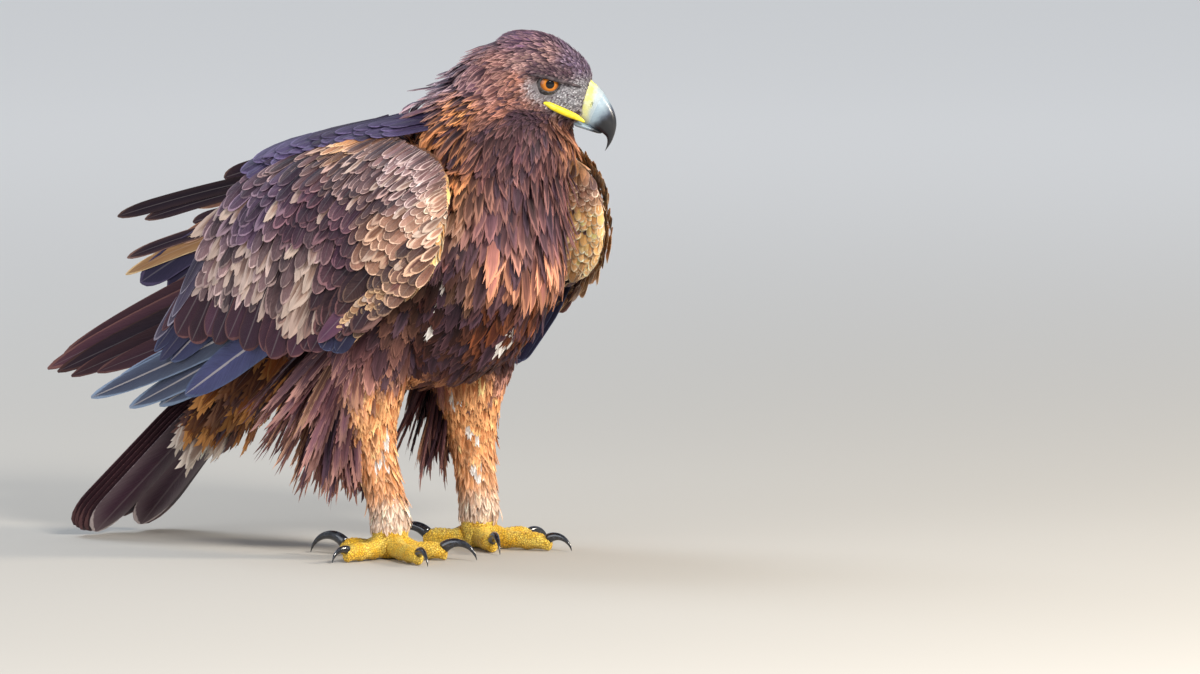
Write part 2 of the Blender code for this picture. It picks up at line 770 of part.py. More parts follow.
# Feather tiers from the wing's front edge down. Count and steps, roots (x, z) at the front, middle and rear,
# for the same three places the headings in degrees, the lengths and the half widths, then the tip's lift
TIERS = {
    "marginal": ((7, 2), ((0.079, 0.334), (0.036, 0.366), (-0.046, 0.374)), (228, 238, 222),
                 (0.034, 0.038, 0.042), (0.0100, 0.0105, 0.0110), 0.0066),
    "lesser": ((8, 2), ((0.076, 0.318), (-0.006, 0.350), (-0.120, 0.346)), (234, 246, 226),
               (0.042, 0.048, 0.050), (0.0105, 0.0115, 0.0115), 0.0060),
    "median": ((8, 2), ((0.070, 0.298), (-0.024, 0.328), (-0.144, 0.320)), (240, 253, 238),
               (0.050, 0.058, 0.060), (0.0110, 0.0125, 0.0125), 0.0052),
    "greater": ((9, 3), ((0.056, 0.280), (-0.036, 0.300), (-0.152, 0.298)), (243, 256, 240),
                (0.060, 0.080, 0.084), (0.0115, 0.0140, 0.0140), 0.0040),
    "secondary": ((10, 3), ((0.038, 0.264), (-0.050, 0.270), (-0.150, 0.280)), (240, 250, 242),
                  (0.072, 0.104, 0.160), (0.0140, 0.0175, 0.0180), 0.0010),
}
# The left wing hangs more open, so its secondaries reach lower
HANGING_LENGTHS = (0.104, 0.148, 0.166)
COVERT_BEND = math.radians(-6)
SCAPULARS = 7
SCAPULAR_LIFT = 0.0095
SCAPULAR_HALF = 0.0120
SCAPULAR_BEND = math.radians(10)

# The wing's tip: heading in degrees and length from the hand, and the place of the hand
HAND_ROOT = (0.020, 0.258)
HAND_LIFT = -0.0085
HAND_STEP = 0.0017
PRIMARY_HALF = 0.0150
PRIMARIES = {
    "right": ((201.5, 0.378), (203.5, 0.358), (206, 0.332), (209, 0.300), (212.5, 0.262)),
    "left": ((193.6, 0.522), (194.8, 0.494), (196.5, 0.458), (198.5, 0.412), (201.5, 0.360)),
}
# Feathers that the wind lifts behind the left wing: root (x, z), heading, length, half width and bend
BLOWN = (
    ((-0.118, 0.340), 186, 0.172, 0.0140, -10),
    ((-0.130, 0.314), 182, 0.268, 0.0165, 6),
    ((-0.136, 0.298), 187, 0.255, 0.0160, 10),
    ((-0.138, 0.284), 193, 0.228, 0.0180, 8),
)
BLOWN_LIFTS = (-0.0080, -0.0020)
SHOULDER = Vector((0.018, 0.078, 0.335))
SHOULDER_RADII = (0.048, 0.044, 0.034)


def build_tier(side, name):
    """One row of overlapping feathers along the wing."""
    (count, steps), roots, headings, lengths, halves, lift = TIERS[name]
    if side == "left" and name == "secondary":
        lengths = HANGING_LENGTHS
    draw = random.Random(13 * len(name) + len(side))
    made = []
    for i in range(count):
        s = i / (count - 1)
        heading = math.radians(between(headings, s)[0] + draw.uniform(-1.5, 1.5))
        length = between(lengths, s)[0] * draw.uniform(0.95, 1.05)
        half = between(halves, s)[0]
        lifts = (ROOT_DEPTH, lift)
        made.append(wing_feather(between(roots, s), heading, length, half, lifts, COVERT_BEND, steps=steps))
    return made


def build_scapulars(side):
    """The shoulder feathers that hang over the top of the wing from the back."""
    draw = random.Random(len(side))
    made = []
    for i in range(SCAPULARS):
        s = i / (SCAPULARS - 1)
        root = (0.020 - 0.150 * s, 0.3735 - 0.030 * s * s)
        heading = math.radians(214 + 6 * s + draw.uniform(-2, 2))
        length = 0.060 + 0.034 * s
        lifts = (ROOT_DEPTH, SCAPULAR_LIFT)
        made.append(wing_feather(root, heading, length, SCAPULAR_HALF, lifts, SCAPULAR_BEND, steps=3))
    return made


def build_primaries(side):
    """The wing's tip: long feathers, one under the other, from the hand's lower edge."""
    made = []
    for i, (heading, length) in enumerate(PRIMARIES[side]):
        root = (HAND_ROOT[0] - 0.003 * i, HAND_ROOT[1] - 0.005 * i)
        depths = (HAND_LIFT - HAND_STEP * i,) * 2
        angle = math.radians(heading)
        made.append(wing_feather(root, angle, length, PRIMARY_HALF, depths, roll=0.0, steps=5))
    return made


def build_wing_core():
    """The left wing's arm: a thick plate under the coverts, from the wrist to the elbow."""
    stations = (
        (0.081, 0.336, 0.081, 0.302, 0.010),
        (0.067, 0.361, 0.064, 0.262, 0.019),
        (0.036, 0.375, 0.031, 0.236, 0.028),
        (-0.010, 0.379, -0.020, 0.228, 0.031),
        (-0.060, 0.374, -0.072, 0.229, 0.030),
        (-0.110, 0.357, -0.120, 0.238, 0.025),
        (-0.150, 0.331, -0.157, 0.256, 0.016),
        (-0.174, 0.304, -0.177, 0.280, 0.007),
    )
    sides = 10
    rings = []
    for xt, zt, xb, zb, deep in smooth_run(stations, 9):
        outline = []
        for k in range(sides):
            angle = 2 * math.pi * (k + 0.5) / sides
            down = (1 - math.cos(angle)) / 2
            x, z = xt + (xb - xt) * down, zt + (zb - zt) * down
            outline.append(Vector((x, wing_out(x, z) - deep / 2 + math.sin(angle) * deep / 2, z)))
        rings.append(outline)
    return loft("wing_core", rings)


def flip(pieces):
    """Turns pieces of the left side into those of the right."""
    for piece in pieces:
        piece.data.transform(Matrix.Diagonal((1, -1, 1, 1)))
        piece.data.flip_normals()


def build_wing(side, trunk_cutters):
    """A folded wing: the arm, its tiers of coverts over the secondaries, and the wing's tip inside them."""
    pieces = [build_wing_core(), ball("shoulder", SHOULDER, SHOULDER_RADII, 10, 7)]
    for name in TIERS:
        pieces.extend(build_tier(side, name))
    pieces.extend(build_scapulars(side))
    pieces.extend(build_primaries(side))
    if side == "left":
        for root, heading, length, half, bend in BLOWN:
            turn = math.radians(bend)
            pieces.append(wing_feather(root, math.radians(heading), length, half, BLOWN_LIFTS, turn))
    for piece in pieces:
        piece.data.transform(Matrix.Translation(WING_SHIFT[side]))
    if side == "right":
        flip(pieces)
    return fuse("wing_" + side, pieces, "wing_covert", trunk_cutters)


# Tail


def build_tail():
    """Twelve overlapping feathers fanned from a core of coverts, the middle pair on top."""
    along = (TAIL_TIP - TAIL_ROOT).normalized()
    length = (TAIL_TIP - TAIL_ROOT).length
    across = Matrix.Rotation(TAIL_ROLL, 3, along) @ Vector((0, 1, 0))
    top = along.cross(across).normalized()
    if top.z < 0:
        top.negate()
    rings = []
    for t, up, down, half in TAIL_CORE:
        centre = TAIL_ROOT + along * length * t
        rings.append(ring(centre + top * up, centre - top * down, half, across, 14))
    pieces = [loft("tail_core", rings)]
    for i in range(TAIL_FEATHERS):
        offset = i - (TAIL_FEATHERS - 1) / 2
        sign = math.copysign(1, offset)
        centre_pair = abs(offset) < 1
        fan = TAIL_FAN * offset
        heading = along * math.cos(fan) + across * math.sin(fan)
        level = TAIL_PAIR_LIFT * sign if centre_pair else TAIL_FEATHER_LIFT
        start = TAIL_ROOT + along * length * TAIL_FEATHER_START
        root = start + across * TAIL_SPREAD * offset + top * level
        side = across * math.cos(fan) - along * math.sin(fan)
        if not centre_pair:
            side = Matrix.Rotation(sign * TAIL_TURN, 3, heading) @ side
        size = length * (0.845 - 0.007 * abs(offset))
        spine = [root + heading * size * t for t in STATIONS[5]]
        widths = [TAIL_VANE * feather_width(t) for t in STATIONS[5]]
        pieces.append(blade("rectrix", spine, [side] * len(spine), widths, VANE_THICKNESS))
    return pieces


def stand_at_origin(parts):
    """Moves everything so that the origin is under the middle of the bird's box, at the floor."""
    corners = [v.co for part in parts for v in part.data.vertices]
    low = Vector(min(c[i] for c in corners) for i in range(3))
    high = Vector(max(c[i] for c in corners) for i in range(3))
    shift = Vector((-(low.x + high.x) / 2, -(low.y + high.y) / 2, -low.z))
    for part in parts:
        part.data.transform(Matrix.Translation(shift))


def build_eagle():
    """Every named part, each cut by the ones it meets so that a thin gap stays between them."""
    torso_core = build_torso()
    torso_cutter = copy_grown(torso_core)
    head_core = build_head_core()
    parts = []

    eyes = {side: build_eye(side) for side in SIDES}
    eye_cutters = [copy_grown(eye) for eye in eyes.values()]
    head_pieces = [head_core]
    for side in eyes:
        head_pieces.extend((brow(side), lid(side)))
    head = fuse("head", head_pieces, "plumage_brown", eye_cutters)
    head_cutter = copy_grown(head)
    parts.append(head)
    for side, eye in eyes.items():
        parts.append(fuse("eye_" + side, [eye], "eye_amber"))

    whole_cere = build_cere()
    cere_cutter = copy_grown(whole_cere)
    cere = fuse("cere", [whole_cere], "cere_skin", nostril_cutters())
    bill = fuse("bill_upper", [build_bill()], "bill_horn")
    bill_cutter = copy_grown(bill)
    lower = fuse("bill_lower", [build_lower_bill()], "bill_horn", [head_cutter, cere_cutter, bill_cutter])
    lower_cutter = copy_grown(lower)
    parts.extend((cere, bill, lower))
    bill_cutters = [head_cutter, cere_cutter, bill_cutter, lower_cutter]
    gapes = [fuse("gape_" + side, [build_gape(side)], "cere_skin", bill_cutters) for side in SIDES]
    gape_cutters = [copy_grown(gape) for gape in gapes]
    parts.extend(gapes)

    neck_core = profile_body("neck_core", NECK_STATIONS, 7, 16)
    trunk_cutters = [torso_cutter, copy_grown(neck_core)]
    wings = [build_wing(side, trunk_cutters) for side in SIDES]
    wing_cutters = [copy_grown(wing) for wing in wings]
    parts.extend(wings)

    neck_cutters = [head_cutter, *eye_cutters, *gape_cutters, lower_cutter, torso_cutter, *wing_cutters]
    parts.append(fuse("neck", [neck_core, *build_hackles()], "plumage_gold", neck_cutters))

    torso = fuse("torso", [torso_core], "plumage_dark")
    parts.append(torso)

    for side in SIDES:
        tarsus = build_tarsus(side)
        leg_cutters = [torso_cutter, copy_grown(tarsus)]
        thigh_pieces = [build_thigh(side), *build_trousers(side)]
        parts.append(fuse("thigh_" + side, thigh_pieces, "plumage_brown", leg_cutters))
        parts.append(fuse("tarsus_" + side, [tarsus], "leg_feather"))
        ankle = build_ankle(side)
        ankle_cutter = copy_grown(ankle)
        parts.append(fuse("foot_" + side, [ankle], "foot_skin"))
        earlier = [ankle_cutter]
        for toe in TOES[side]:
            made = fuse(f"toe_{side}_{toe}", [build_toe(side, toe)], "foot_skin", list(earlier))
            toe_cutter = copy_grown(made)
            parts.append(made)
            parts.append(fuse(f"claw_{side}_{toe}", [build_claw(side, toe)], "claw_horn", [toe_cutter]))
            earlier.append(toe_cutter)

    tail = fuse("tail", build_tail(), "flight_feather", [torso_cutter])
    parts.append(tail)
    return parts


def nostril_cutters():
    """Small slanting ovals for the nostrils, one in each side of the cere."""
    made = []
    for side in SIDES:
        centre = head_place() @ mirrored((0.0415, 0.0112, -0.0165), side)
        nostril = ball("nostril_" + side, centre, (0.0012, 0.0022, 0.0028), 8, 6, HEAD_TURN)
        nostril.hide_render = True
        nostril.display_type = "WIRE"
        made.append(nostril)
    return made


def drop_cutters():
    """Removes the helpers once each cut is applied."""
    for helper in [o for o in bpy.data.objects if o.hide_render]:
        bpy.data.objects.remove(helper)


def main():
    clear_scene()
    parts = build_eagle()
    drop_cutters()
    stand_at_origin(parts)
    eagle = bpy.data.collections.new("golden_eagle")
    bpy.context.scene.collection.children.link(eagle)
    for part in parts:
        bpy.context.scene.collection.objects.unlink(part)
        eagle.objects.link(part)


main()
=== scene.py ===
"""A golden eagle as a still museum model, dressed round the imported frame.

One skin carries a coat of modelled feathers, with the wings, tail, bill, eyes and feet as their own pieces.
Everything is made in the bird's own frame, facing +X from the floor midway between its feet, and then moved
into the frame of the solids. Lengths are in metres, and in millimetres in the tables that say so.
"""

import math

import bmesh
import bpy
import numpy as np
from mathutils import Matrix, Vector, noise
from mathutils.bvhtree import BVHTree


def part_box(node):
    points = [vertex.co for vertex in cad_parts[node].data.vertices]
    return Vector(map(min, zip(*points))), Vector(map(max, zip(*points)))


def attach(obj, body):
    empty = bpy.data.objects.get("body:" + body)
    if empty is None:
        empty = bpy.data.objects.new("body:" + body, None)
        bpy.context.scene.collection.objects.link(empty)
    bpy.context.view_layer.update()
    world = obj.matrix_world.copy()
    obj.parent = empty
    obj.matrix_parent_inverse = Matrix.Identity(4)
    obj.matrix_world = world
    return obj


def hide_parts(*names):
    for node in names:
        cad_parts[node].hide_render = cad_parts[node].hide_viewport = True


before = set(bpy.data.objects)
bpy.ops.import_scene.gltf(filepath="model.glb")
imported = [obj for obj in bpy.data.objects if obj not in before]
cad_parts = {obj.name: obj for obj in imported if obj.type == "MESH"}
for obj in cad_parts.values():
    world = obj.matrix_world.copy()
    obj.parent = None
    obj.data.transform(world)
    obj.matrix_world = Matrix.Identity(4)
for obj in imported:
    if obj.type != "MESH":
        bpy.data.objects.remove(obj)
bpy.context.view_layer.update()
MM = 0.001
# A slanted direction, along which no two parts of a piece lie level
ORDER = Vector((0.577, 1.207, 2.914))

# The bird's measures, as in the solids
EYE_POINT = Vector((0.105, 0.022, 0.423))
HEAD_TURN = math.radians(27)
EYE_PLACE = Vector((0.0030, 0.0192, 0.0024))
EYE_RADIUS = 0.0120
LID_RADIUS = 0.0098
LID_TURN = math.radians(19)
LEG_SPREAD = 0.065
ANKLE_X = {"right": -0.005, "left": 0.000}
HEEL_X = {"right": -0.031, "left": -0.011}
HEEL_Z = 0.125
ANKLE_Z = 0.030
TOE_HEIGHT = 0.0165
WING_OUT = 0.138
WING_REAR_OUT = 0.050
WING_REAR_REACH = 0.24
WING_TOP_START = 0.270
WING_TOP_REACH = 0.115
WING_FRONT_START = 0.030
WING_FRONT_REACH = 0.060
WING_SHIFT = {"right": Vector((0.0, 0.0, 0.0)), "left": Vector((0.014, 0.012, 0.0))}
TAIL_ROOT = Vector((-0.160, 0.0, 0.206))
TAIL_TIP = Vector((-0.349, 0.0, 0.0080))
TAIL_ROLL = math.radians(8)
TAIL_TURN = math.radians(8)

SIDES = ("right", "left")
HEAD_PLACE = Matrix.Translation(EYE_POINT) @ Matrix.Rotation(HEAD_TURN, 4, "Z")


def outward(side):
    return 1 if side == "left" else -1


def frame_shift():
    """From the bird's own frame to the solids' frame, read from where its two ankles stand."""
    places = []
    for side in SIDES:
        low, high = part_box("foot_" + side)
        middle = (low + high) / 2
        places.append(Vector((middle.x - ANKLE_X[side], middle.y - LEG_SPREAD * outward(side), 0)))
    return (places[0] + places[1]) / 2


SHIFT = frame_shift()


# Modelling by hand


def work_on(piece):
    if bpy.context.mode != "OBJECT":
        bpy.ops.object.mode_set(mode="OBJECT")
    bpy.ops.object.select_all(action="DESELECT")
    piece.select_set(True)
    bpy.context.view_layer.objects.active = piece


def start_shaping(piece):
    work_on(piece)
    bpy.ops.object.mode_set(mode="EDIT")
    bpy.ops.mesh.select_mode(type="VERT")
    bpy.ops.mesh.select_all(action="SELECT")


def stop_shaping():
    bpy.ops.object.mode_set(mode="OBJECT")


def pick(piece, wanted):
    """Selects these points of the piece that is being shaped, and nothing else."""
    bpy.ops.mesh.select_all(action="DESELECT")
    shape = bmesh.from_edit_mesh(piece.data)
    shape.verts.ensure_lookup_table()
    for i in wanted:
        shape.verts[i].select = True
    shape.select_flush(True)
    bmesh.update_edit_mesh(piece.data)


def settle_order(piece):
    """Sorts the parts of the piece that is being shaped, so that each run of the script gives the same mesh."""
    shape = bmesh.from_edit_mesh(piece.data)
    shape.verts.sort(key=lambda v: v.co.dot(ORDER))
    shape.edges.sort(key=lambda e: (e.verts[0].co + e.verts[1].co).dot(ORDER))
    shape.faces.sort(key=lambda f: f.calc_center_median().dot(ORDER))
    for parts in (shape.verts, shape.edges, shape.faces):
        parts.index_update()
    bmesh.update_edit_mesh(piece.data)


def rows_along(piece, axis, count, step=1.0):
    """The points of each row of a regular piece, row by row along one axis."""
    shape = bmesh.from_edit_mesh(piece.data)
    rows = [[] for _ in range(count)]
    for v in shape.verts:
        rows[min(count - 1, max(0, round(v.co[axis] / step)))].append(v.index)
    return rows


def add_modifier(piece, kind, **settings):
    made = piece.modifiers.new(kind.lower(), kind)
    for name, value in settings.items():
        setattr(made, name, value)
    work_on(piece)
    bpy.ops.object.modifier_apply(modifier=made.name)


def round_off(piece, levels):
    add_modifier(piece, "SUBSURF", levels=levels, render_levels=levels)


def join(pieces, name):
    work_on(pieces[0])
    for piece in pieces[1:]:
        piece.select_set(True)
    if len(pieces) > 1:
        bpy.ops.object.join()
    pieces[0].name = pieces[0].data.name = name
    return pieces[0]


def copy_of(piece):
    made = piece.copy()
    made.data = piece.data.copy()
    for key in list(made.keys()):
        del made[key]
    bpy.context.scene.collection.objects.link(made)
    made.parent = None
    return made


def ring_body(name, stations, sides, levels=2, place=None):
    """A body drawn out ring by ring. A station is (top x, top z, bottom x, bottom z, half width, y)."""
    bpy.ops.object.select_all(action="DESELECT")
    bpy.ops.mesh.primitive_circle_add(vertices=sides, radius=1, fill_type="NGON")
    piece = bpy.context.active_object
    piece.name = piece.data.name = name
    start_shaping(piece)
    for _ in stations[1:]:
        bpy.ops.mesh.extrude_region_move(TRANSFORM_OT_translate={"value": (0, 0, 1)})
    for k, row in enumerate(rows_along(piece, 2, len(stations))):
        xt, zt, xb, zb, half, y = stations[k]
        up = Vector((xt - xb, 0, zt - zb)) / 2
        pick(piece, row)
        centre = (0, 0, k)
        bpy.ops.transform.resize(value=(up.length, half, 1), center_override=centre)
        turn = math.atan2(up.z, up.x)
        bpy.ops.transform.rotate(value=turn, orient_axis="Y", center_override=centre)
        bpy.ops.transform.translate(value=((xt + xb) / 2, y, (zt + zb) / 2 - k))
    bpy.ops.mesh.select_all(action="SELECT")
    bpy.ops.mesh.normals_make_consistent(inside=False)
    settle_order(piece)
    stop_shaping()
    if levels:
        round_off(piece, levels)
    if place:
        piece.data.transform(place)
    return piece


def smooth_run(stations, count):
    """count stations read from a Catmull-Rom curve through the given ones, each a flat tuple of numbers."""
    read = []
    last = len(stations) - 1
    for i in range(count):
        place = last * i / (count - 1)
        k = min(int(place), last - 1)
        t = place - k
        around = [stations[max(0, min(last, k + j))] for j in (-1, 0, 1, 2)]
        station = []
        for a, b, c, d in zip(*around):
            square, cube = 2 * a - 5 * b + 4 * c - d, 3 * b - a - 3 * c + d
            station.append(0.5 * (2 * b + (c - a) * t + square * t * t + cube * t**3))
        read.append(tuple(station))
    return read


def read_run(stations, s):
    """One station read from a smooth run at s, from 0 to 1."""
    flat = [v if isinstance(v, tuple) else (v,) for v in stations]
    return smooth_run(flat, 201)[max(0, min(200, round(200 * s)))]


# Materials


class Amount:
    """A shader socket that can be calculated with: an expression on amounts adds its Math nodes."""

    def __init__(self, finish, socket):
        self.finish, self.socket = finish, socket

    def math(self, operation, *others):
        return self.finish.math(operation, self, *others)

    def __add__(self, other):
        return self.finish.math("ADD", self, other)

    def __sub__(self, other):
        return self.finish.math("SUBTRACT", self, other)

    def __rsub__(self, other):
        return self.finish.math("SUBTRACT", other, self)

    def __mul__(self, other):
        return self.finish.math("MULTIPLY", self, other)

    def __truediv__(self, other):
        return self.finish.math("DIVIDE", self, other)

    def __pow__(self, other):
        return self.finish.math("POWER", self, other)

    def step(self, low, high):
        """0 below low, 1 above high, and a soft rise between."""
        read = {"Value": self, "From Min": low, "From Max": high}
        return self.finish.node("ShaderNodeMapRange", {"interpolation_type": "SMOOTHSTEP"}, read)

    __radd__ = __add__
    __rmul__ = __mul__


class Finish:
    """A material, built node by node."""

    def __init__(self, name, **fixed):
        self.material = bpy.data.materials.new(name)
        self.material.use_nodes = True
        self.tree = self.material.node_tree
        self.shader = self.tree.nodes["Principled BSDF"]
        for socket, value in fixed.items():
            self.shader.inputs[socket.replace("_", " ")].default_value = value

    def node(self, kind, settings, values, output=0):
        made = self.tree.nodes.new(kind)
        for name, value in settings.items():
            setattr(made, name, value)
        for name, value in values.items():
            self.set(made.inputs[name], value)
        return Amount(self, made.outputs[output])

    def set(self, socket, value):
        if isinstance(value, Amount):
            self.tree.links.new(value.socket, socket)
        else:
            socket.default_value = value

    def math(self, operation, *values):
        return self.node("ShaderNodeMath", {"operation": operation}, dict(enumerate(values)))

    def mix(self, first, second, share):
        colours = [v if isinstance(v, Amount) else (*v, 1.0) for v in (first, second)]
        values = {0: share, 6: colours[0], 7: colours[1]}
        return self.node("ShaderNodeMix", {"data_type": "RGBA"}, values, 2)

    def scaled(self, colour, share):
        """A colour made lighter or darker by an amount."""
        values = {0: colour, "Scale": share}
        return self.node("ShaderNodeVectorMath", {"operation": "SCALE"}, values)

    def attribute(self, name, output="Color"):
        return self.node("ShaderNodeAttribute", {"attribute_name": name}, {}, output)

    def parts(self, vector):
        made = self.tree.nodes.new("ShaderNodeSeparateXYZ")
        self.set(made.inputs[0], vector)
        return [Amount(self, socket) for socket in made.outputs]

    def point(self, *values):
        return self.node("ShaderNodeCombineXYZ", {}, dict(enumerate(values)))

    def object_place(self):
        return self.node("ShaderNodeTexCoord", {}, {}, "Object")

    def noise(self, vector, scale, detail=2.0, roughness=0.5):
        values = {"Vector": vector, "Scale": scale, "Detail": detail, "Roughness": roughness}
        return self.node("ShaderNodeTexNoise", {}, values, "Fac")

    def cells(self, vector, scale, feature="F1"):
        values = {"Vector": vector, "Scale": scale}
        return self.node("ShaderNodeTexVoronoi", {"feature": feature}, values, "Distance")

    def bump(self, height, strength, distance):
        values = {"Height": height, "Strength": strength, "Distance": distance}
        return self.node("ShaderNodeBump", {}, values)

    def wear(self, **links):
        """Links what changes over the surface to the shader."""
        for socket, value in links.items():
            self.set(self.shader.inputs[socket.replace("_", " ")], value)
        return self.material


def feather_finish(name, gloss, end, reach, soft, rough, streaks, middle=0.0, shaft=0.0, wash=0.0):
    """Feathers: their own shade, a fringe round the rim and tip, a darker middle, barbs and a pale shaft.

    end is where along the vane its tip rounds off, reach and soft where the fringe starts and how softly, rough
    how far the fringe wanders, and streaks how many barbs run across and along. wash is how much of the fringe
    colour spreads over the outer half of the vane.
    """
    finish = Finish(name, Roughness=gloss, Specular_IOR_Level=0.16)
    u, v, _ = finish.parts(finish.node("ShaderNodeUVMap", {"uv_map": "vane"}, {}))
    chance, wear, _ = finish.parts(finish.attribute("nature", "Vector"))
    across = (u * 2 - 1).math("ABSOLUTE")
    slant = v * streaks[1] - across * streaks[1] * 0.16
    barbs = finish.noise(finish.point(u * streaks[0], slant, chance * 90), 1.0, 3.0, 0.65)
    patches = finish.noise(finish.point(u * 2.5, v * 3, chance * 70 + 11), 1.0, 1.0)
    tip = ((v - end) / (1 - end)).math("MAXIMUM", 0.0)
    rim = (across * across + tip * tip).math("SQRT")
    fringe = (rim + (barbs - 0.5) * rough + (wear - 0.5) * 0.6).step(reach, reach + soft)
    fringe = fringe.math("MAXIMUM", rim.step(0.2, 1.1) * 0.18)
    if wash:
        fringe = fringe.math("MAXIMUM", (v + (barbs - 0.5) * 0.5).step(0.35, 1.0) * wash)
    colour = finish.mix(finish.attribute("shade"), finish.attribute("fringe"), fringe)
    # Painted shade: the rise along the vane darkens each feather towards its root, where the feathers laid over it
    # would shade it.
    light = 0.66 + (barbs - 0.5) * 0.75 + (patches - 0.5) * 0.45 + (chance - 0.5) * 0.24 + v.step(0.1, 0.85) * 0.36
    if middle:
        light = light - (1 - across.step(0.02, 0.45)) * middle
    colour = finish.scaled(colour, light.math("MAXIMUM", 0.05))
    if shaft:
        colour = finish.mix(colour, (0.50, 0.45, 0.44), (1 - across.step(0.025, 0.08)) * shaft)
    return finish.wear(Base_Color=colour, Normal=finish.bump(barbs, 0.45, 0.0012))


def skin_finish():
    finish = Finish("skin_under_coat", Roughness=0.8)
    grain = finish.noise(finish.object_place(), 420.0, 3.0)
    colour = finish.scaled(finish.attribute("shade"), 0.45 + grain * 0.6)
    return finish.wear(Base_Color=colour, Normal=finish.bump(grain, 0.5, 0.001))


def bill_finish():
    """Horn: pale blue at the cere, slate along the ridge and black at the hook, with fine growth lines."""
    finish = Finish("bill_horn", Roughness=0.34, Coat_Weight=0.2, Coat_Roughness=0.15)
    along, front, _ = finish.parts(finish.attribute("growth", "Vector"))
    place = finish.object_place()
    cloud = finish.noise(place, 160.0, 3.0)
    lines = finish.noise(finish.point(along * 34, front * 3, 0.0), 1.0, 2.0)
    there = along + (cloud - 0.5) * 0.20
    slate = finish.mix((0.32, 0.42, 0.49), (0.050, 0.064, 0.100), (there * 0.75 + front * 0.45).step(0.04, 0.44))
    colour = finish.mix(slate, (0.010, 0.011, 0.015), (there + front * 0.22).step(0.20, 0.46))
    colour = finish.scaled(colour, 0.85 + lines * 0.3)
    return finish.wear(Base_Color=colour, Normal=finish.bump(lines + cloud * 0.4, 0.12, 0.0008))


def cere_finish():
    """Soft skin: yellow against the forehead, greyer low down, and pale blue where the horn begins."""
    finish = Finish("cere_skin", Roughness=0.42, Subsurface_Weight=0.0)
    along, low, _ = finish.parts(finish.attribute("growth", "Vector"))
    place = finish.object_place()
    cloud = finish.noise(place, 190.0, 3.0)
    pores = finish.cells(place, 1500.0)
    colour = finish.mix((0.74, 0.70, 0.16), (0.82, 0.78, 0.44), cloud.step(0.35, 0.7))
    colour = finish.mix(colour, (0.50, 0.54, 0.40), (low + (cloud - 0.5) * 0.5).step(0.35, 0.9) * 0.7)
    colour = finish.mix(colour, (0.40, 0.48, 0.52), (along + (cloud - 0.5) * 0.4).step(0.45, 1.0))
    colour = finish.scaled(colour, 0.85 + pores * 0.25)
    return finish.wear(Base_Color=colour, Normal=finish.bump(pores, 0.25, 0.0005))


def lip_finish():
    finish = Finish("gape_skin", Roughness=0.38)
    cloud = finish.noise(finish.object_place(), 260.0, 2.0)
    colour = finish.mix((0.86, 0.66, 0.01), (0.95, 0.80, 0.06), cloud.step(0.3, 0.7))
    return finish.wear(Base_Color=colour, Normal=finish.bump(cloud, 0.2, 0.0006))


def lid_finish():
    finish = Finish("eyelid_skin", Roughness=0.5)
    cloud = finish.noise(finish.object_place(), 700.0, 2.0)
    colour = finish.mix((0.022, 0.019, 0.020), (0.120, 0.110, 0.110), cloud.step(0.35, 0.75))
    return finish.wear(Base_Color=colour, Normal=finish.bump(cloud, 0.4, 0.0005))


def brow_finish():
    # Dark brow skin, partly its own colour and partly painted shadow under the overhanging ridge.
    finish = Finish("brow_skin_and_shadow", Roughness=0.75)
    place = finish.object_place()
    cloud = finish.noise(place, 260.0, 3.0)
    grain = finish.noise(place, 1400.0, 2.0)
    colour = finish.mix((0.025, 0.017, 0.022), (0.100, 0.072, 0.080), cloud.step(0.35, 0.7))
    return finish.wear(Base_Color=colour, Normal=finish.bump(grain, 0.6, 0.0006))


def eye_finish():
    """An amber iris with a dark rim and fine rays round a black pupil, under a wet cornea."""
    finish = Finish("eye_amber", Roughness=0.10, Specular_IOR_Level=0.25, Coat_Weight=0.35, Coat_Roughness=0.02)
    x, y, _ = finish.parts(finish.node("ShaderNodeUVMap", {"uv_map": "gaze"}, {}))
    x, y = x * 2 - 1, y * 2 - 1
    away = (x * x + y * y).math("SQRT")
    rays = finish.noise(finish.point(y.math("ARCTAN2", x) * 9, away * 2, 0.0), 1.0, 2.0)
    iris = finish.mix((0.62, 0.20, 0.015), (0.24, 0.065, 0.006), away.step(0.36, 0.68))
    iris = finish.scaled(iris, 0.7 + rays * 0.6)
    colour = finish.mix((0.004, 0.004, 0.005), iris, away.step(0.315, 0.345))
    colour = finish.mix(colour, (0.02, 0.012, 0.008), away.step(0.66, 0.74))
    return finish.wear(Base_Color=colour)


def foot_finish():
    finish = Finish("foot_skin", Roughness=0.46)
    place = finish.object_place()
    scales = finish.cells(place, 460.0)
    rims = finish.cells(place, 460.0, "DISTANCE_TO_EDGE")
    cloud = finish.noise(place, 95.0, 3.0)
    colour = finish.mix((0.96, 0.56, 0.030), (0.98, 0.75, 0.140), cloud.step(0.3, 0.7))
    # Painted shade: the creases between the scales are coloured dark orange, and each scale darkens towards its edge.
    colour = finish.mix((0.42, 0.19, 0.012), colour, rims.step(0.0, 0.10))
    colour = finish.scaled(colour, 1.04 - scales * 0.2)
    return finish.wear(Base_Color=colour, Normal=finish.bump(rims.step(0.0, 0.22), 0.80, 0.0009))


def claw_finish():
    finish = Finish("claw_horn", Roughness=0.16, Coat_Weight=0.8, Coat_Roughness=0.08)
    lines = finish.noise(finish.object_place(), 330.0, 3.0)
    colour = finish.mix((0.008, 0.009, 0.012), (0.035, 0.040, 0.055), lines.step(0.4, 0.75))
    return finish.wear(Base_Color=colour, Normal=finish.bump(lines, 0.1, 0.0006))


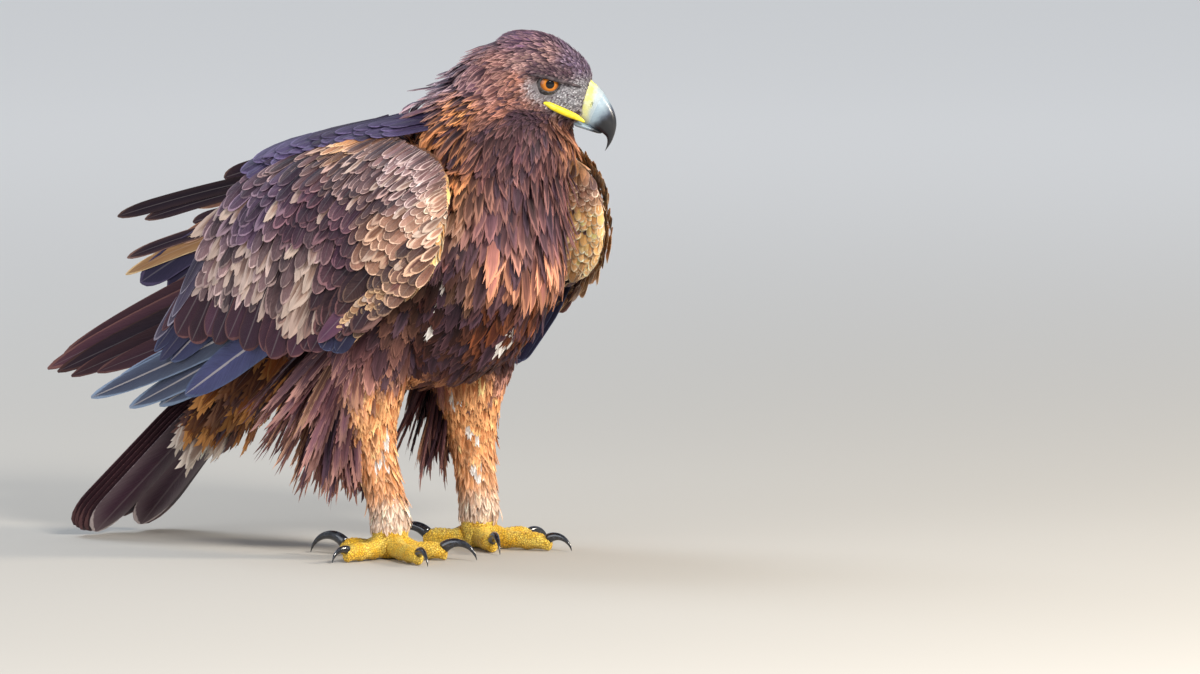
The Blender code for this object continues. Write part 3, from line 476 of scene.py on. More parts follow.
FEATHERS = {
    "tuft": feather_finish("face_feather", 0.70, 0.30, 0.60, 0.44, 0.35, (3, 1.5), 0.06, 0.0, 0.6),
    "lance": feather_finish("hackle_feather", 0.55, 0.20, 0.64, 0.34, 0.36, (8, 2.2), 0.20, 0.0, 0.36),
    "body": feather_finish("body_feather", 0.60, 0.50, 0.64, 0.40, 0.44, (9, 2.5), 0.18, 0.0, 0.5),
    "plume": feather_finish("loose_feather", 0.65, 0.45, 0.62, 0.45, 0.44, (9, 2.0), 0.15, 0.10),
    "scale": feather_finish("covert_feather", 0.50, 0.66, 0.82, 0.18, 0.30, (4, 22), 0.06, 0.10, 0.26),
    "worn": feather_finish("worn_feather", 0.55, 0.50, 0.40, 0.50, 0.60, (9, 3), 0.10, 0.12),
    "flight": feather_finish("flight_feather", 0.42, 0.86, 0.88, 0.12, 0.16, (4, 90), 0.0, 0.14),
    # The slate kind carries feathers coloured blue-grey, partly their own dark colour and partly a painted sky
    # reflection on their sheen.
    "slate": feather_finish("sky_sheen_feather", 0.36, 0.86, 0.80, 0.20, 0.14, (4, 90), 0.0, 0.80),
}
HORN = bill_finish()
CERE = cere_finish()
LIP = lip_finish()
LID = lid_finish()
IRIS = eye_finish()
FOOT = foot_finish()
CLAW = claw_finish()
BROW = brow_finish()
SKIN = skin_finish()


def dress(piece, name, material, replaced=()):
    """Moves a finished piece into the frame of the solids, and says what it is there."""
    piece.name = piece.data.name = name
    piece.data.transform(Matrix.Translation(SHIFT))
    piece.data.materials.clear()
    piece.data.materials.append(material)
    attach(piece, "root")
    if replaced:
        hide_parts(*replaced)
    return piece


# Skin

NECK_STATIONS = (
    (-0.0216, 0.3764, 0.1000, 0.3184, 0.0660, 0.000),
    (-0.0120, 0.3960, 0.1230, 0.3360, 0.0640, 0.005),
    (0.0040, 0.4180, 0.1320, 0.3590, 0.0590, 0.011),
    (0.0230, 0.4380, 0.1300, 0.3790, 0.0510, 0.015),
    (0.0450, 0.4500, 0.1200, 0.3960, 0.0410, 0.018),
)
# The breast where it swells forward under the throat
CROP_STATIONS = (
    (-0.012, 0.384, 0.128, 0.350, 0.058, 0.006),
    (-0.016, 0.362, 0.126, 0.326, 0.064, 0.003),
    (-0.018, 0.342, 0.122, 0.302, 0.070, 0.000),
    (-0.014, 0.318, 0.121, 0.274, 0.074, 0.000),
    (0.004, 0.292, 0.119, 0.246, 0.074, 0.000),
    (0.020, 0.268, 0.109, 0.220, 0.068, 0.000),
    (0.030, 0.240, 0.086, 0.206, 0.050, 0.000),
)
WING_ARM = (
    (0.083, 0.337, 0.085, 0.292, 0.010),
    (0.069, 0.361, 0.074, 0.250, 0.019),
    (0.036, 0.375, 0.040, 0.229, 0.028),
    (-0.010, 0.379, -0.016, 0.224, 0.031),
    (-0.060, 0.374, -0.072, 0.227, 0.030),
    (-0.110, 0.357, -0.120, 0.238, 0.025),
    (-0.150, 0.331, -0.157, 0.256, 0.016),
    (-0.174, 0.304, -0.177, 0.280, 0.007),
)
TAIL_CORE = (
    (0.01, 0.022, 0.024, 0.036),
    (0.12, 0.020, 0.026, 0.043),
    (0.24, 0.012, 0.022, 0.048),
    (0.36, 0.006, 0.015, 0.048),
    (0.46, 0.002, 0.0085, 0.036),
)
VOXEL = 0.0026


def wing_out(x, z):
    """How far the wing's outer face stands from the middle of the bird at a place seen from the side."""
    behind = max(0.0, -0.02 - x)
    out = WING_REAR_OUT + (WING_OUT - WING_REAR_OUT) * math.exp(-((behind / WING_REAR_REACH) ** 2))
    top = min(1.04, max(0.0, (z - WING_TOP_START) / WING_TOP_REACH))
    front = max(0.0, (x - WING_FRONT_START) / WING_FRONT_REACH)
    return out * math.sqrt(1 - 0.86 * top * top) * (1 - 0.2 * front * front)


def wing_point(x, z, lift=0.0):
    """The place on the left wing's outer face, lifted along the face's normal, and that normal."""
    step = 0.002
    p = Vector((x, wing_out(x, z), z))
    along = Vector((step, wing_out(x + step, z) - p.y, 0))
    up = Vector((0, wing_out(x, z + step) - p.y, step))
    normal = up.cross(along).normalized()
    return p + normal * lift, normal


def mirror_right(piece, side):
    if side == "right":
        piece.data.transform(Matrix.Diagonal((1, -1, 1, 1)))
        piece.data.flip_normals()
    piece.data.transform(Matrix.Translation(WING_SHIFT[side]))


def wing_arm(side):
    """The flesh of the folded wing: a plate that follows the wing's outer face."""
    upright = [(xt, zt, xb, zb, 1.0, 0.0) for xt, zt, xb, zb, _ in WING_ARM]
    piece = ring_body("arm_" + side, upright, 16, 0)
    depths = [deep for *_, deep in WING_ARM]
    for i, v in enumerate(piece.data.vertices):
        deep = depths[min(range(len(WING_ARM)), key=lambda k: ring_distance(v.co, WING_ARM[k]))]
        v.co.y = wing_out(v.co.x, v.co.z) - deep / 2 + v.co.y * deep / 2
    round_off(piece, 1)
    mirror_right(piece, side)
    return piece


def ring_distance(p, station):
    """How far a point lies off a station's line, seen from the side."""
    xt, zt, xb, zb, _ = station
    line = Vector((xb - xt, zb - zt))
    return abs(line.cross(Vector((p.x - xt, p.z - zt)))) / line.length


def leg_body(side):
    """Thigh and shank in one, from inside the body to the ankle."""
    heel, ankle, y = HEEL_X[side], ANKLE_X[side], LEG_SPREAD * outward(side)
    inward = -0.003 * outward(side)
    calf, shin = heel * 0.85, heel * 0.55 + ankle * 0.45
    stations = (
        (-0.062, 0.250, 0.030, 0.250, 0.033, y + 2 * inward),
        (-0.075, 0.215, 0.032, 0.215, 0.040, y + inward),
        (heel - 0.046, 0.180, heel + 0.048, 0.180, 0.038, y),
        (heel - 0.036, 0.150, heel + 0.035, 0.150, 0.031, y),
        (heel - 0.0255, HEEL_Z, heel + 0.0255, HEEL_Z, 0.0243, y),
        (calf - 0.0215, 0.1050, calf + 0.0225, 0.1050, 0.0208, y),
        (shin - 0.0180, 0.0750, shin + 0.0185, 0.0750, 0.0178, y),
        (ankle - 0.0175, 0.0440, ankle + 0.0175, 0.0440, 0.0172, y),
        (ankle - 0.0184, ANKLE_Z, ankle + 0.0184, ANKLE_Z, 0.0182, y),
        (ankle - 0.0192, 0.0185, ankle + 0.0192, 0.0185, 0.0190, y),
    )
    return ring_body("leg_" + side, stations, 16, 1)


def tail_frame():
    along = (TAIL_TIP - TAIL_ROOT).normalized()
    across = Matrix.Rotation(TAIL_ROLL, 3, along) @ Vector((0, 1, 0))
    top = along.cross(across).normalized()
    if top.z < 0:
        top.negate()
    return along, across, top


def tail_body():
    """The flesh and down at the tail's root."""
    along, across, top = tail_frame()
    length = (TAIL_TIP - TAIL_ROOT).length
    stations = [(up, length * t, -down, length * t, half, 0) for t, up, down, half in TAIL_CORE]
    piece = ring_body("tail_core", stations, 14, 1)
    turn = Matrix((top, across, along)).transposed().to_4x4()
    piece.data.transform(Matrix.Translation(TAIL_ROOT) @ turn)
    return piece


def node_body(node):
    """A copy of a flesh node of the solids, in the bird's own frame."""
    piece = copy_of(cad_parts[node])
    piece.data.transform(Matrix.Translation(-SHIFT))
    start_shaping(piece)
    bpy.ops.mesh.remove_doubles(threshold=0.00002)
    stop_shaping()
    return piece


def build_skin():
    """All the flesh as one closed skin, which sink_skin later sinks by the depth of its coat."""
    flesh = [node_body("head"), node_body("torso"), tail_body()]
    flesh.append(ring_body("neck_core", NECK_STATIONS, 20, 1))
    flesh.append(ring_body("crop", CROP_STATIONS, 20, 1))
    for side in SIDES:
        flesh.append(brow_ridge(side))
        flesh.append(leg_body(side))
        flesh.append(wing_arm(side))
    skin = join(flesh, "skin")
    add_modifier(skin, "REMESH", mode="VOXEL", voxel_size=VOXEL)
    add_modifier(skin, "SMOOTH", factor=0.5, iterations=5)
    return skin


# How the coat lies: a place in millimetres, the way the feathers point, their length, half width and lift in
# degrees, their kind and their colouring; first on the head, in its own frame
HEAD_COAT = (
    ((37, 0, 16), (-60, 0, 80), 6, 1.2, 14, "tuft", "forehead"),
    ((24, 0, 33), (-85, 0, 50), 9, 1.5, 12, "tuft", "forehead"),
    ((0, 0, 45), (-100, 0, 15), 15, 1.8, 3, "lance", "crown"),
    ((-30, 0, 47), (-95, 0, -20), 18, 2.2, 4, "lance", "crown"),
    ((-12, 20, 38), (-100, 0, -8), 16, 1.9, 5, "lance", "crown"),
    ((-55, 0, 35), (-80, 0, -60), 23, 3.3, 20, "lance", "nape_top"),
    ((-74, 0, 15), (-60, 0, -80), 28, 3.8, 26, "lance", "nape"),
    ((26, 16, 20), (-92, 12, 30), 8, 1.3, 11, "tuft", "forehead"),
    ((12, 22, 27), (-100, 10, 10), 13, 1.5, 8, "lance", "brow"),
    ((-12, 29, 22), (-98, 5, -5), 15, 1.7, 8, "lance", "brow"),
    ((14, 27, 12), (-98, 8, -2), 8, 1.3, 8, "tuft", "ridge"),
    ((33, 12, 13), (-80, 15, 45), 6, 1.2, 10, "tuft", "forehead"),
    ((25, 21, 12), (-95, 12, 10), 8, 1.3, 9, "tuft", "ridge"),
    ((0, 31, 14), (-99, 6, -4), 9, 1.4, 8, "tuft", "ridge"),
    ((-35, 33, 22), (-95, 0, -30), 18, 2.1, 9, "lance", "ear"),
    ((33, 14, -2), (-70, 40, 25), 4.0, 0.7, 16, "tuft", "lore"),
    ((28, 17, -12), (-80, 30, -15), 4.5, 0.7, 15, "tuft", "lore"),
    ((20, 21, -13), (-90, 15, -30), 5.0, 0.7, 13, "tuft", "lore"),
    ((17, 24, -5), (-90, 15, -20), 4.5, 0.7, 12, "tuft", "lore"),
    ((-9, 29, -1), (-90, 5, -20), 4.0, 0.7, 12, "tuft", "eye_ring"),
    ((-4, 28, -8), (-85, 5, -45), 4.0, 0.7, 12, "tuft", "eye_ring"),
    ((5, 26, -11), (-80, 5, -55), 4.5, 0.7, 12, "tuft", "lore"),
    ((-16, 32, 6), (-96, 5, -14), 10, 1.6, 10, "tuft", "face"),
    ((-15, 31, -3), (-94, 5, -24), 9, 1.5, 10, "tuft", "face"),
    ((-9, 29, -13), (-92, 5, -34), 8, 1.4, 10, "tuft", "face"),
    ((1, 27, -17), (-95, 10, -30), 8, 1.4, 10, "tuft", "face"),
    ((-24, 33, -10), (-95, 5, -25), 14, 1.7, 8, "lance", "face"),
    ((-34, 36, -2), (-88, 0, -48), 18, 2.1, 9, "lance", "ear"),
    ((-30, 35, -20), (-80, 0, -60), 17, 2.0, 9, "lance", "face"),
    ((-16, 31, -24), (-88, 5, -48), 11, 1.6, 10, "tuft", "jaw"),
    ((-2, 26, -28), (-90, 5, -44), 9, 1.5, 10, "tuft", "jaw"),
    ((10, 22, -27), (-92, 5, -38), 8, 1.4, 10, "tuft", "jaw"),
    ((24, 14, -32), (-95, 0, -30), 7, 1.2, 10, "tuft", "jaw"),
    ((6, 25, -22), (-92, 5, -38), 9, 1.5, 9, "tuft", "jaw"),
    ((-8, 30, -21), (-90, 5, -42), 10, 1.5, 9, "tuft", "jaw"),
    ((-22, 33, -26), (-82, 5, -56), 14, 1.8, 8, "lance", "jaw"),
    ((20, 0, -36), (-95, 0, -30), 10, 1.5, 12, "tuft", "jaw"),
    ((-8, 10, -36), (-50, 0, -86), 20, 2.0, 12, "lance", "jaw"),
    ((-36, 32, -34), (-70, 0, -72), 22, 2.4, 14, "lance", "jaw"),
    ((-55, 32, 8), (-78, 0, -62), 22, 2.8, 15, "lance", "nape_top"),
    ((-58, 26, -14), (-65, 0, -76), 25, 3.0, 16, "lance", "hackle"),
)
BODY_COAT = (
    ((4, 0, 415), (-70, 0, -70), 32, 3.4, 24, "lance", "nape"),
    ((26, 40, 416), (-60, 10, -78), 30, 3.3, 20, "lance", "nape_top"),
    ((-14, 30, 390), (-80, 10, -60), 36, 4.8, 18, "lance", "hackle"),
    ((38, 54, 396), (-55, 12, -85), 34, 4.0, 17, "lance", "hackle"),
    ((68, 58, 382), (-35, 12, -92), 36, 4.0, 15, "lance", "hackle"),
    ((30, 64, 368), (-50, 15, -85), 34, 4.7, 15, "lance", "hackle"),
    ((58, 66, 352), (-28, 10, -95), 36, 4.7, 12, "lance", "hackle"),
    ((96, 50, 372), (-22, 5, -97), 42, 3.7, 10, "lance", "throat"),
    ((128, 12, 365), (-6, 0, -100), 44, 3.8, 8, "lance", "throat"),
    ((118, 36, 345), (-12, 2, -99), 46, 4.2, 8, "lance", "throat"),
    ((-24, 0, 380), (-88, 0, -48), 34, 5.0, 10, "body", "mantle_top"),
    ((120, 0, 324), (-5, 0, -100), 52, 5.2, 7, "lance", "breast_top"),
    ((98, 48, 322), (-10, 0, -99), 52, 5.4, 7, "lance", "breast_top"),
    ((118, 0, 288), (-6, 0, -100), 50, 5.8, 7, "lance", "breast"),
    ((100, 45, 286), (-14, 0, -99), 48, 5.8, 7, "lance", "breast"),
    ((112, 0, 248), (-30, 0, -95), 38, 5.2, 7, "lance", "breast_low"),
    ((94, 40, 246), (-36, 0, -93), 38, 5.2, 7, "lance", "breast_low"),
    ((94, 0, 210), (-60, 0, -80), 26, 3.8, 8, "body", "breast_low"),
    ((64, 74, 300), (-20, 8, -97), 46, 5.6, 7, "lance", "breast_top"),
    ((56, 78, 255), (-34, 0, -94), 44, 6.4, 8, "body", "side"),
    ((48, 66, 205), (-60, 0, -80), 42, 6.4, 9, "body", "side"),
    ((74, 0, 182), (-85, 0, -50), 34, 4.8, 9, "body", "belly"),
    ((62, 40, 184), (-80, 0, -58), 34, 4.8, 9, "body", "belly"),
    ((10, 20, 158), (-98, 0, -18), 34, 5.2, 9, "body", "belly"),
    ((-65, 0, 150), (-100, 0, 0), 36, 5.6, 9, "body", "belly"),
    ((-118, 0, 152), (-96, 0, -20), 42, 6.0, 9, "plume", "vent"),
    ((-50, 84, 210), (-72, 0, -70), 48, 7.0, 9, "body", "flank"),
    ((0, 84, 215), (-60, 0, -80), 46, 6.8, 9, "body", "flank"),
    ((-100, 66, 200), (-75, 0, -66), 46, 6.2, 9, "body", "flank"),
    ((-60, 0, 366), (-92, 0, -40), 40, 7.5, 6, "body", "mantle"),
    ((-60, 50, 352), (-92, 0, -40), 40, 7.5, 6, "body", "mantle"),
    ((-112, 0, 330), (-82, 0, -57), 44, 8.0, 6, "body", "mantle"),
    ((-120, 55, 295), (-75, 0, -66), 44, 7.6, 7, "body", "mantle"),
    ((-160, 0, 270), (-68, 0, -73), 46, 7.4, 7, "body", "rump"),
    ((-185, 0, 215), (-69, 0, -72), 50, 7.4, 6, "body", "rump"),
    ((-230, 30, 145), (-69, 10, -72), 46, 7.4, 5, "body", "rump"),
    ((-150, 30, 165), (-80, 0, -60), 44, 6.4, 8, "plume", "under_tail"),
    ((-190, 0, 140), (-69, 0, -72), 44, 6.8, 8, "plume", "under_tail"),
    ((-230, 20, 108), (-69, 0, -72), 46, 7.0, 6, "plume", "under_tail"),
    ((70, 72, 289), (-30, 5, -95), 40, 5.4, 8, "body", "side"),
    ((66, 74, 262), (-40, 5, -92), 40, 5.6, 8, "body", "side"),
    ((69, 63, 235), (-48, 5, -88), 38, 5.4, 8, "body", "side"),
    ((61, 74, 305), (-24, 5, -97), 38, 5.0, 7, "lance", "side"),
    ((34, 60, 197), (-70, 0, -72), 38, 5.4, 9, "body", "side"),
    ((91, 32, 218), (-45, 0, -88), 36, 5.2, 8, "lance", "breast_low"),
    ((123, 30, 384), (22, 6, -97), 30, 3.2, 20, "lance", "rust"),
    ((127, 10, 390), (30, 0, -95), 30, 3.2, 30, "lance", "rust"),
    ((-5, 78, 142), (-12, 0, -99), 22, 3.4, 8, "plume", "trouser_front"),
    ((12, 62, 158), (-8, 0, -99), 26, 3.8, 7, "plume", "trouser_front"),
    ((10, 46, 172), (-10, 0, -99), 28, 4.0, 7, "plume", "trouser_front"),
    ((112, 28, 384), (-10, 0, -99), 32, 3.4, 9, "lance", "throat"),
    ((126, 0, 384), (0, 0, -100), 32, 3.4, 9, "lance", "throat"),
    ((-7, 86, 156), (-16, 0, -98), 26, 3.8, 8, "plume", "trouser_front"),
    ((0, 43, 134), (-6, 0, -100), 18, 3.0, 8, "plume", "trouser_front"),
    ((-1, 38, 152), (-10, 0, -99), 22, 3.4, 8, "plume", "trouser_front"),
    ((4, 56, 122), (2, 0, -100), 14, 2.6, 8, "plume", "trouser_front"),
    ((88, 118, 300), (-10, 5, -98), 13, 3.7, 9, "scale", "wrist_inner"),
    ((88, 121, 274), (-12, 5, -98), 14, 4.0, 9, "scale", "wrist_inner"),
    ((-2, 65, 24), (4, 0, -100), 13, 2.0, 8, "tuft", "shank_low"),
    ((-20, 104, 200), (-45, 5, -90), 46, 5.8, 9, "plume", "trouser"),
    ((-72, 92, 192), (-60, 5, -80), 50, 6.0, 10, "plume", "trouser"),
    ((-36, 102, 160), (-38, 5, -93), 46, 5.6, 10, "plume", "trouser"),
    ((-82, 66, 175), (-62, 0, -78), 54, 5.8, 12, "plume", "trouser"),
    ((-62, 65, 140), (-40, 0, -92), 40, 5.4, 14, "plume", "trouser"),
    ((20, 66, 176), (-12, 0, -99), 28, 4.2, 8, "plume", "trouser"),
    ((14, 66, 142), (-14, 0, -99), 22, 3.4, 8, "plume", "trouser_front"),
    ((-15, 34, 165), (-20, 0, -98), 30, 4.6, 8, "plume", "trouser"),
    ((-22, 40, 138), (-10, 0, -99), 22, 3.6, 8, "plume", "trouser_front"),
    ((-14, 90, 132), (-6, 0, -100), 22, 3.4, 8, "plume", "trouser_front"),
    ((4, 84, 110), (10, 0, -99), 22, 2.6, 6, "lance", "shank"),
    ((-18, 65, 100), (16, 0, -99), 20, 2.5, 6, "lance", "shank"),
    ((-8, 65, 75), (16, 0, -99), 19, 2.3, 6, "lance", "shank"),
    ((-2, 65, 42), (6, 0, -100), 16, 2.0, 6, "lance", "shank_low"),
    ((30, 92, 362), (-80, 20, -45), 26, 4.8, 10, "body", "shoulder"),
    ((86, 108, 330), (-18, 10, -98), 12, 3.6, 10, "scale", "wrist"),
    ((78, 88, 330), (-15, 5, -98), 14, 4.0, 10, "scale", "wrist_inner"),
    ((76, 92, 285), (-20, 5, -97), 16, 4.2, 10, "scale", "wrist_inner"),
    ((66, 98, 250), (-45, 5, -88), 20, 4.8, 9, "scale", "under_wing"),
    ((10, 95, 240), (-80, 5, -55), 34, 6.0, 8, "body", "under_wing"),
    ((-60, 85, 235), (-85, 5, -50), 40, 7.0, 8, "body", "under_wing"),
    ((-140, 60, 260), (-85, 5, -50), 40, 7.0, 8, "body", "under_wing"),
    ((30, 138, 300), (-40, 0, -90), 30, 6.0, 6, "none", "covert"),
    ((0, 134, 340), (-40, 0, -90), 30, 6.0, 6, "none", "covert"),
    ((-60, 125, 330), (-40, 0, -90), 30, 6.0, 6, "none", "covert"),
    ((-60, 132, 280), (-40, 0, -90), 30, 6.0, 6, "none", "covert"),
    ((-130, 110, 300), (-40, 0, -90), 30, 6.0, 6, "none", "covert"),
)
# Colourings: the feather's own shade, its fringe colour, how far the fringe reaches in, and the share of dark ones
COLOURING = {
    "crown": ((0.080, 0.040, 0.086), (0.300, 0.170, 0.210), 0.44, 0.34),
    "forehead": ((0.070, 0.046, 0.095), (0.210, 0.155, 0.210), 0.43, 0.30),
    "brow": ((0.160, 0.080, 0.095), (0.410, 0.245, 0.225), 0.46, 0.20),
    # ridge: dark tufts along the brow's edge, partly their own colour and partly painted shadow under the ridge.
    "ridge": ((0.035, 0.020, 0.032), (0.170, 0.105, 0.110), 0.40, 0.40),
    "lore": ((0.175, 0.165, 0.180), (0.480, 0.480, 0.510), 0.53, 0.12),
    "eye_ring": ((0.200, 0.185, 0.200), (0.540, 0.520, 0.550), 0.58, 0.05),
    "face": ((0.210, 0.085, 0.065), (0.430, 0.185, 0.130), 0.48, 0.16),
    "ear": ((0.160, 0.066, 0.066), (0.460, 0.240, 0.205), 0.48, 0.20),
    # jaw: near black, the chin's own dark feathers darkened further as painted shade under the head.
    "jaw": ((0.007, 0.003, 0.007), (0.050, 0.025, 0.045), 0.36, 0.35),
    "nape_top": ((0.090, 0.040, 0.066), (0.400, 0.230, 0.235), 0.46, 0.34),
    "nape": ((0.042, 0.022, 0.058), (0.640, 0.480, 0.540), 0.45, 0.36),
    "hackle": ((0.030, 0.007, 0.006), (0.900, 0.350, 0.120), 0.46, 0.40),
    "throat": ((0.045, 0.016, 0.026), (0.160, 0.066, 0.066), 0.43, 0.36),
    "rust": ((0.240, 0.070, 0.030), (0.780, 0.340, 0.150), 0.52, 0.08),
    "mantle_top": ((0.060, 0.040, 0.090), (0.200, 0.140, 0.220), 0.40, 0.30),
    "breast_top": ((0.105, 0.045, 0.062), (0.300, 0.135, 0.135), 0.44, 0.36),
    "breast": ((0.230, 0.090, 0.078), (0.740, 0.330, 0.200), 0.49, 0.22),
    "breast_low": ((0.042, 0.010, 0.006), (0.160, 0.045, 0.017), 0.46, 0.45),
    "side": ((0.010, 0.003, 0.005), (0.070, 0.023, 0.019), 0.38, 0.45),
    "belly": ((0.030, 0.009, 0.012), (0.100, 0.038, 0.034), 0.40, 0.30),
    "vent": ((0.060, 0.018, 0.012), (0.240, 0.095, 0.040), 0.42, 0.30),
    "flank": ((0.055, 0.020, 0.028), (0.210, 0.090, 0.092), 0.42, 0.32),
    # mantle: dark feathers tinted blue, partly their own colour and partly a painted sky reflection on their sheen.
    "mantle": ((0.045, 0.036, 0.085), (0.150, 0.120, 0.230), 0.35, 0.30),
    "rump": ((0.060, 0.035, 0.045), (0.200, 0.110, 0.100), 0.40, 0.30),
    "under_tail": ((0.200, 0.055, 0.012), (0.560, 0.255, 0.080), 0.44, 0.44),
    "tail_down": ((0.400, 0.260, 0.200), (0.800, 0.690, 0.600), 0.50, 0.15),
    "trouser": ((0.180, 0.078, 0.100), (0.430, 0.220, 0.185), 0.44, 0.22),
    "trouser_rust": ((0.200, 0.080, 0.055), (0.560, 0.310, 0.200), 0.48, 0.10),
    "trouser_front": ((0.500, 0.175, 0.060), (0.860, 0.430, 0.190), 0.52, 0.04),
    "shank": ((0.600, 0.235, 0.080), (0.820, 0.420, 0.220), 0.50, 0.00),
    "shank_low": ((0.680, 0.440, 0.310), (0.900, 0.720, 0.590), 0.56, 0.00),
    "shoulder": ((0.160, 0.060, 0.040), (0.620, 0.320, 0.170), 0.50, 0.25),
    "wrist": ((0.300, 0.150, 0.110), (0.800, 0.560, 0.440), 0.50, 0.10),
    # wrist_inner: golden feathers, painted far paler and brighter than their own colour, as if in sunlight.
    "wrist_inner": ((0.920, 0.450, 0.150), (0.980, 0.800, 0.540), 0.50, 0.05),
    "under_wing": ((0.026, 0.010, 0.008), (0.150, 0.065, 0.036), 0.42, 0.35),
    "inside": ((0.075, 0.045, 0.050), (0.260, 0.170, 0.170), 0.42, 0.25),
    "covert": ((0.085, 0.045, 0.060), (0.300, 0.190, 0.180), 0.42, 0.30),
}
DARK_SHADE = np.array((0.022, 0.012, 0.022))
DARK_FRINGE = np.array((0.085, 0.045, 0.066))
WHITE_SHADE = np.array((0.62, 0.56, 0.52))
WHITE_FRINGE = np.array((0.88, 0.84, 0.80))
# White feathers that show here and there: place and reach in millimetres
WHITE_SPOTS = (
    ((92, -18, 318), 5),
    ((106, 22, 271), 5),
    ((108, 6, 263), 6),
    ((98, -18, 214), 6),
    ((64, -76, 264), 5),
    ((60, -66, 232), 7),
    ((-7, -71, 124), 6),
    ((-9, -78, 97), 6),
    ((5, -72, 66), 5),
    ((-6, 37, 152), 6),
    ((2, 48, 116), 6),
    ((6, 51, 80), 5),
    ((-50, 0, 384), 5),
)
KINDS = ("none", "tuft", "lance", "body", "plume", "scale")
LAYERS = {"tuft": 4.3, "lance": 3.5, "body": 3.8, "plume": 4.0, "scale": 3.9}


class Coat:
    """The coat as fields over the bird: what grows at any place, and how it lies."""

    def __init__(self):
        rows = []
        for table, place in ((HEAD_COAT, HEAD_PLACE), (BODY_COAT, Matrix.Identity(4))):
            for at, lie, length, half, lift, kind, colouring in table:
                for hand in (1, -1) if at[1] and colouring != "rust" else (1,):
                    there = place @ (Vector((at[0], at[1] * hand, at[2])) * MM)
                    way = place.to_3x3() @ Vector((lie[0], lie[1] * hand, lie[2])).normalized()
                    shade, fringe, wear, dark = COLOURING[colouring]
                    sizes = (length * MM, half * MM, math.radians(lift), wear, dark)
                    rows.append((*there, *way, *sizes, *shade, *fringe, KINDS.index(kind)))
        self.rows = np.array(rows)

    def at(self, points):
        """Lie, sizes, colours and kind of the coat at these points."""
        far = ((points[:, None, :] - self.rows[None, :, :3]) ** 2).sum(2)
        weight = 1 / (far + 0.004**2) ** 2
        kind = self.rows[weight.argmax(1), -1].astype(int)
        weight /= weight.sum(1, keepdims=True)
        mean = weight @ self.rows[:, 3:-1]
        lie = mean[:, :3] / np.linalg.norm(mean[:, :3], axis=1, keepdims=True)
        names = ("length", "half", "lift", "wear", "dark")
        grown = {name: mean[:, 3 + k] for k, name in enumerate(names)}
        return {**grown, "lie": lie, "shade": mean[:, 8:11], "fringe": mean[:, 11:14], "kind": kind}


def white_share(points):
    """How white the coat is at these points: 1 in the middle of a white spot, 0 away from all."""
    share = np.zeros(len(points))
    for at, reach in WHITE_SPOTS:
        far = np.linalg.norm(points - np.array(at) * MM, axis=1) / (reach * MM)
        share = np.maximum(share, np.clip(1.6 - far * 1.1, 0, 1))
    return share


def mesh_arrays(mesh):
    points = np.zeros(len(mesh.vertices) * 3)
    mesh.vertices.foreach_get("co", points)
    corners = np.zeros(len(mesh.loops), int)
    mesh.loops.foreach_get("vertex_index", corners)
    starts = np.zeros(len(mesh.polygons), int)
    mesh.polygons.foreach_get("loop_start", starts)
    totals = np.zeros(len(mesh.polygons), int)
    mesh.polygons.foreach_get("loop_total", totals)
    return points.reshape(-1, 3), corners, starts, totals


def add_attribute(mesh, name, kind, values):
    field = {"FLOAT_COLOR": "color", "FLOAT_VECTOR": "vector"}[kind]
    made = mesh.attributes.new(name, kind, "POINT")
    made.data.foreach_set(field, np.ascontiguousarray(values, dtype=np.float32).ravel())


def add_map(mesh, name, spots):
    made = mesh.uv_layers.new(name=name)
    made.data.foreach_set("uv", np.ascontiguousarray(spots, dtype=np.float32).ravel())


def opaque(colours):
    return np.concatenate([colours, np.ones((len(colours), 1))], axis=1)


def sink_skin(skin, coat):
    """Sinks the skin by the coat's depth, marks it with the coat's own colours and unwraps it."""
    points, *_ = mesh_arrays(skin.data)
    grown = coat.at(points)
    normals = np.zeros(len(points) * 3)
    skin.data.vertices.foreach_get("normal", normals)
    depth = np.clip(grown["length"] * np.sin(grown["lift"]) * 0.45, 0.0005, 0.0040)
    white = white_share(points)[:, None]
    colours = grown["shade"] * 0.8 + grown["fringe"] * 0.2
    points -= normals.reshape(-1, 3) * depth[:, None]
    skin.data.vertices.foreach_set("co", points.ravel())
    skin.data.update()
    add_attribute(skin.data, "shade", "FLOAT_COLOR", opaque(colours * (1 - white) + WHITE_SHADE * white))
    start_shaping(skin)
    bpy.ops.uv.smart_project(angle_limit=math.radians(70), island_margin=0.001)
    stop_shaping()
    skin.data.uv_layers[0].name = "OFBake"
    skin.data.shade_smooth()


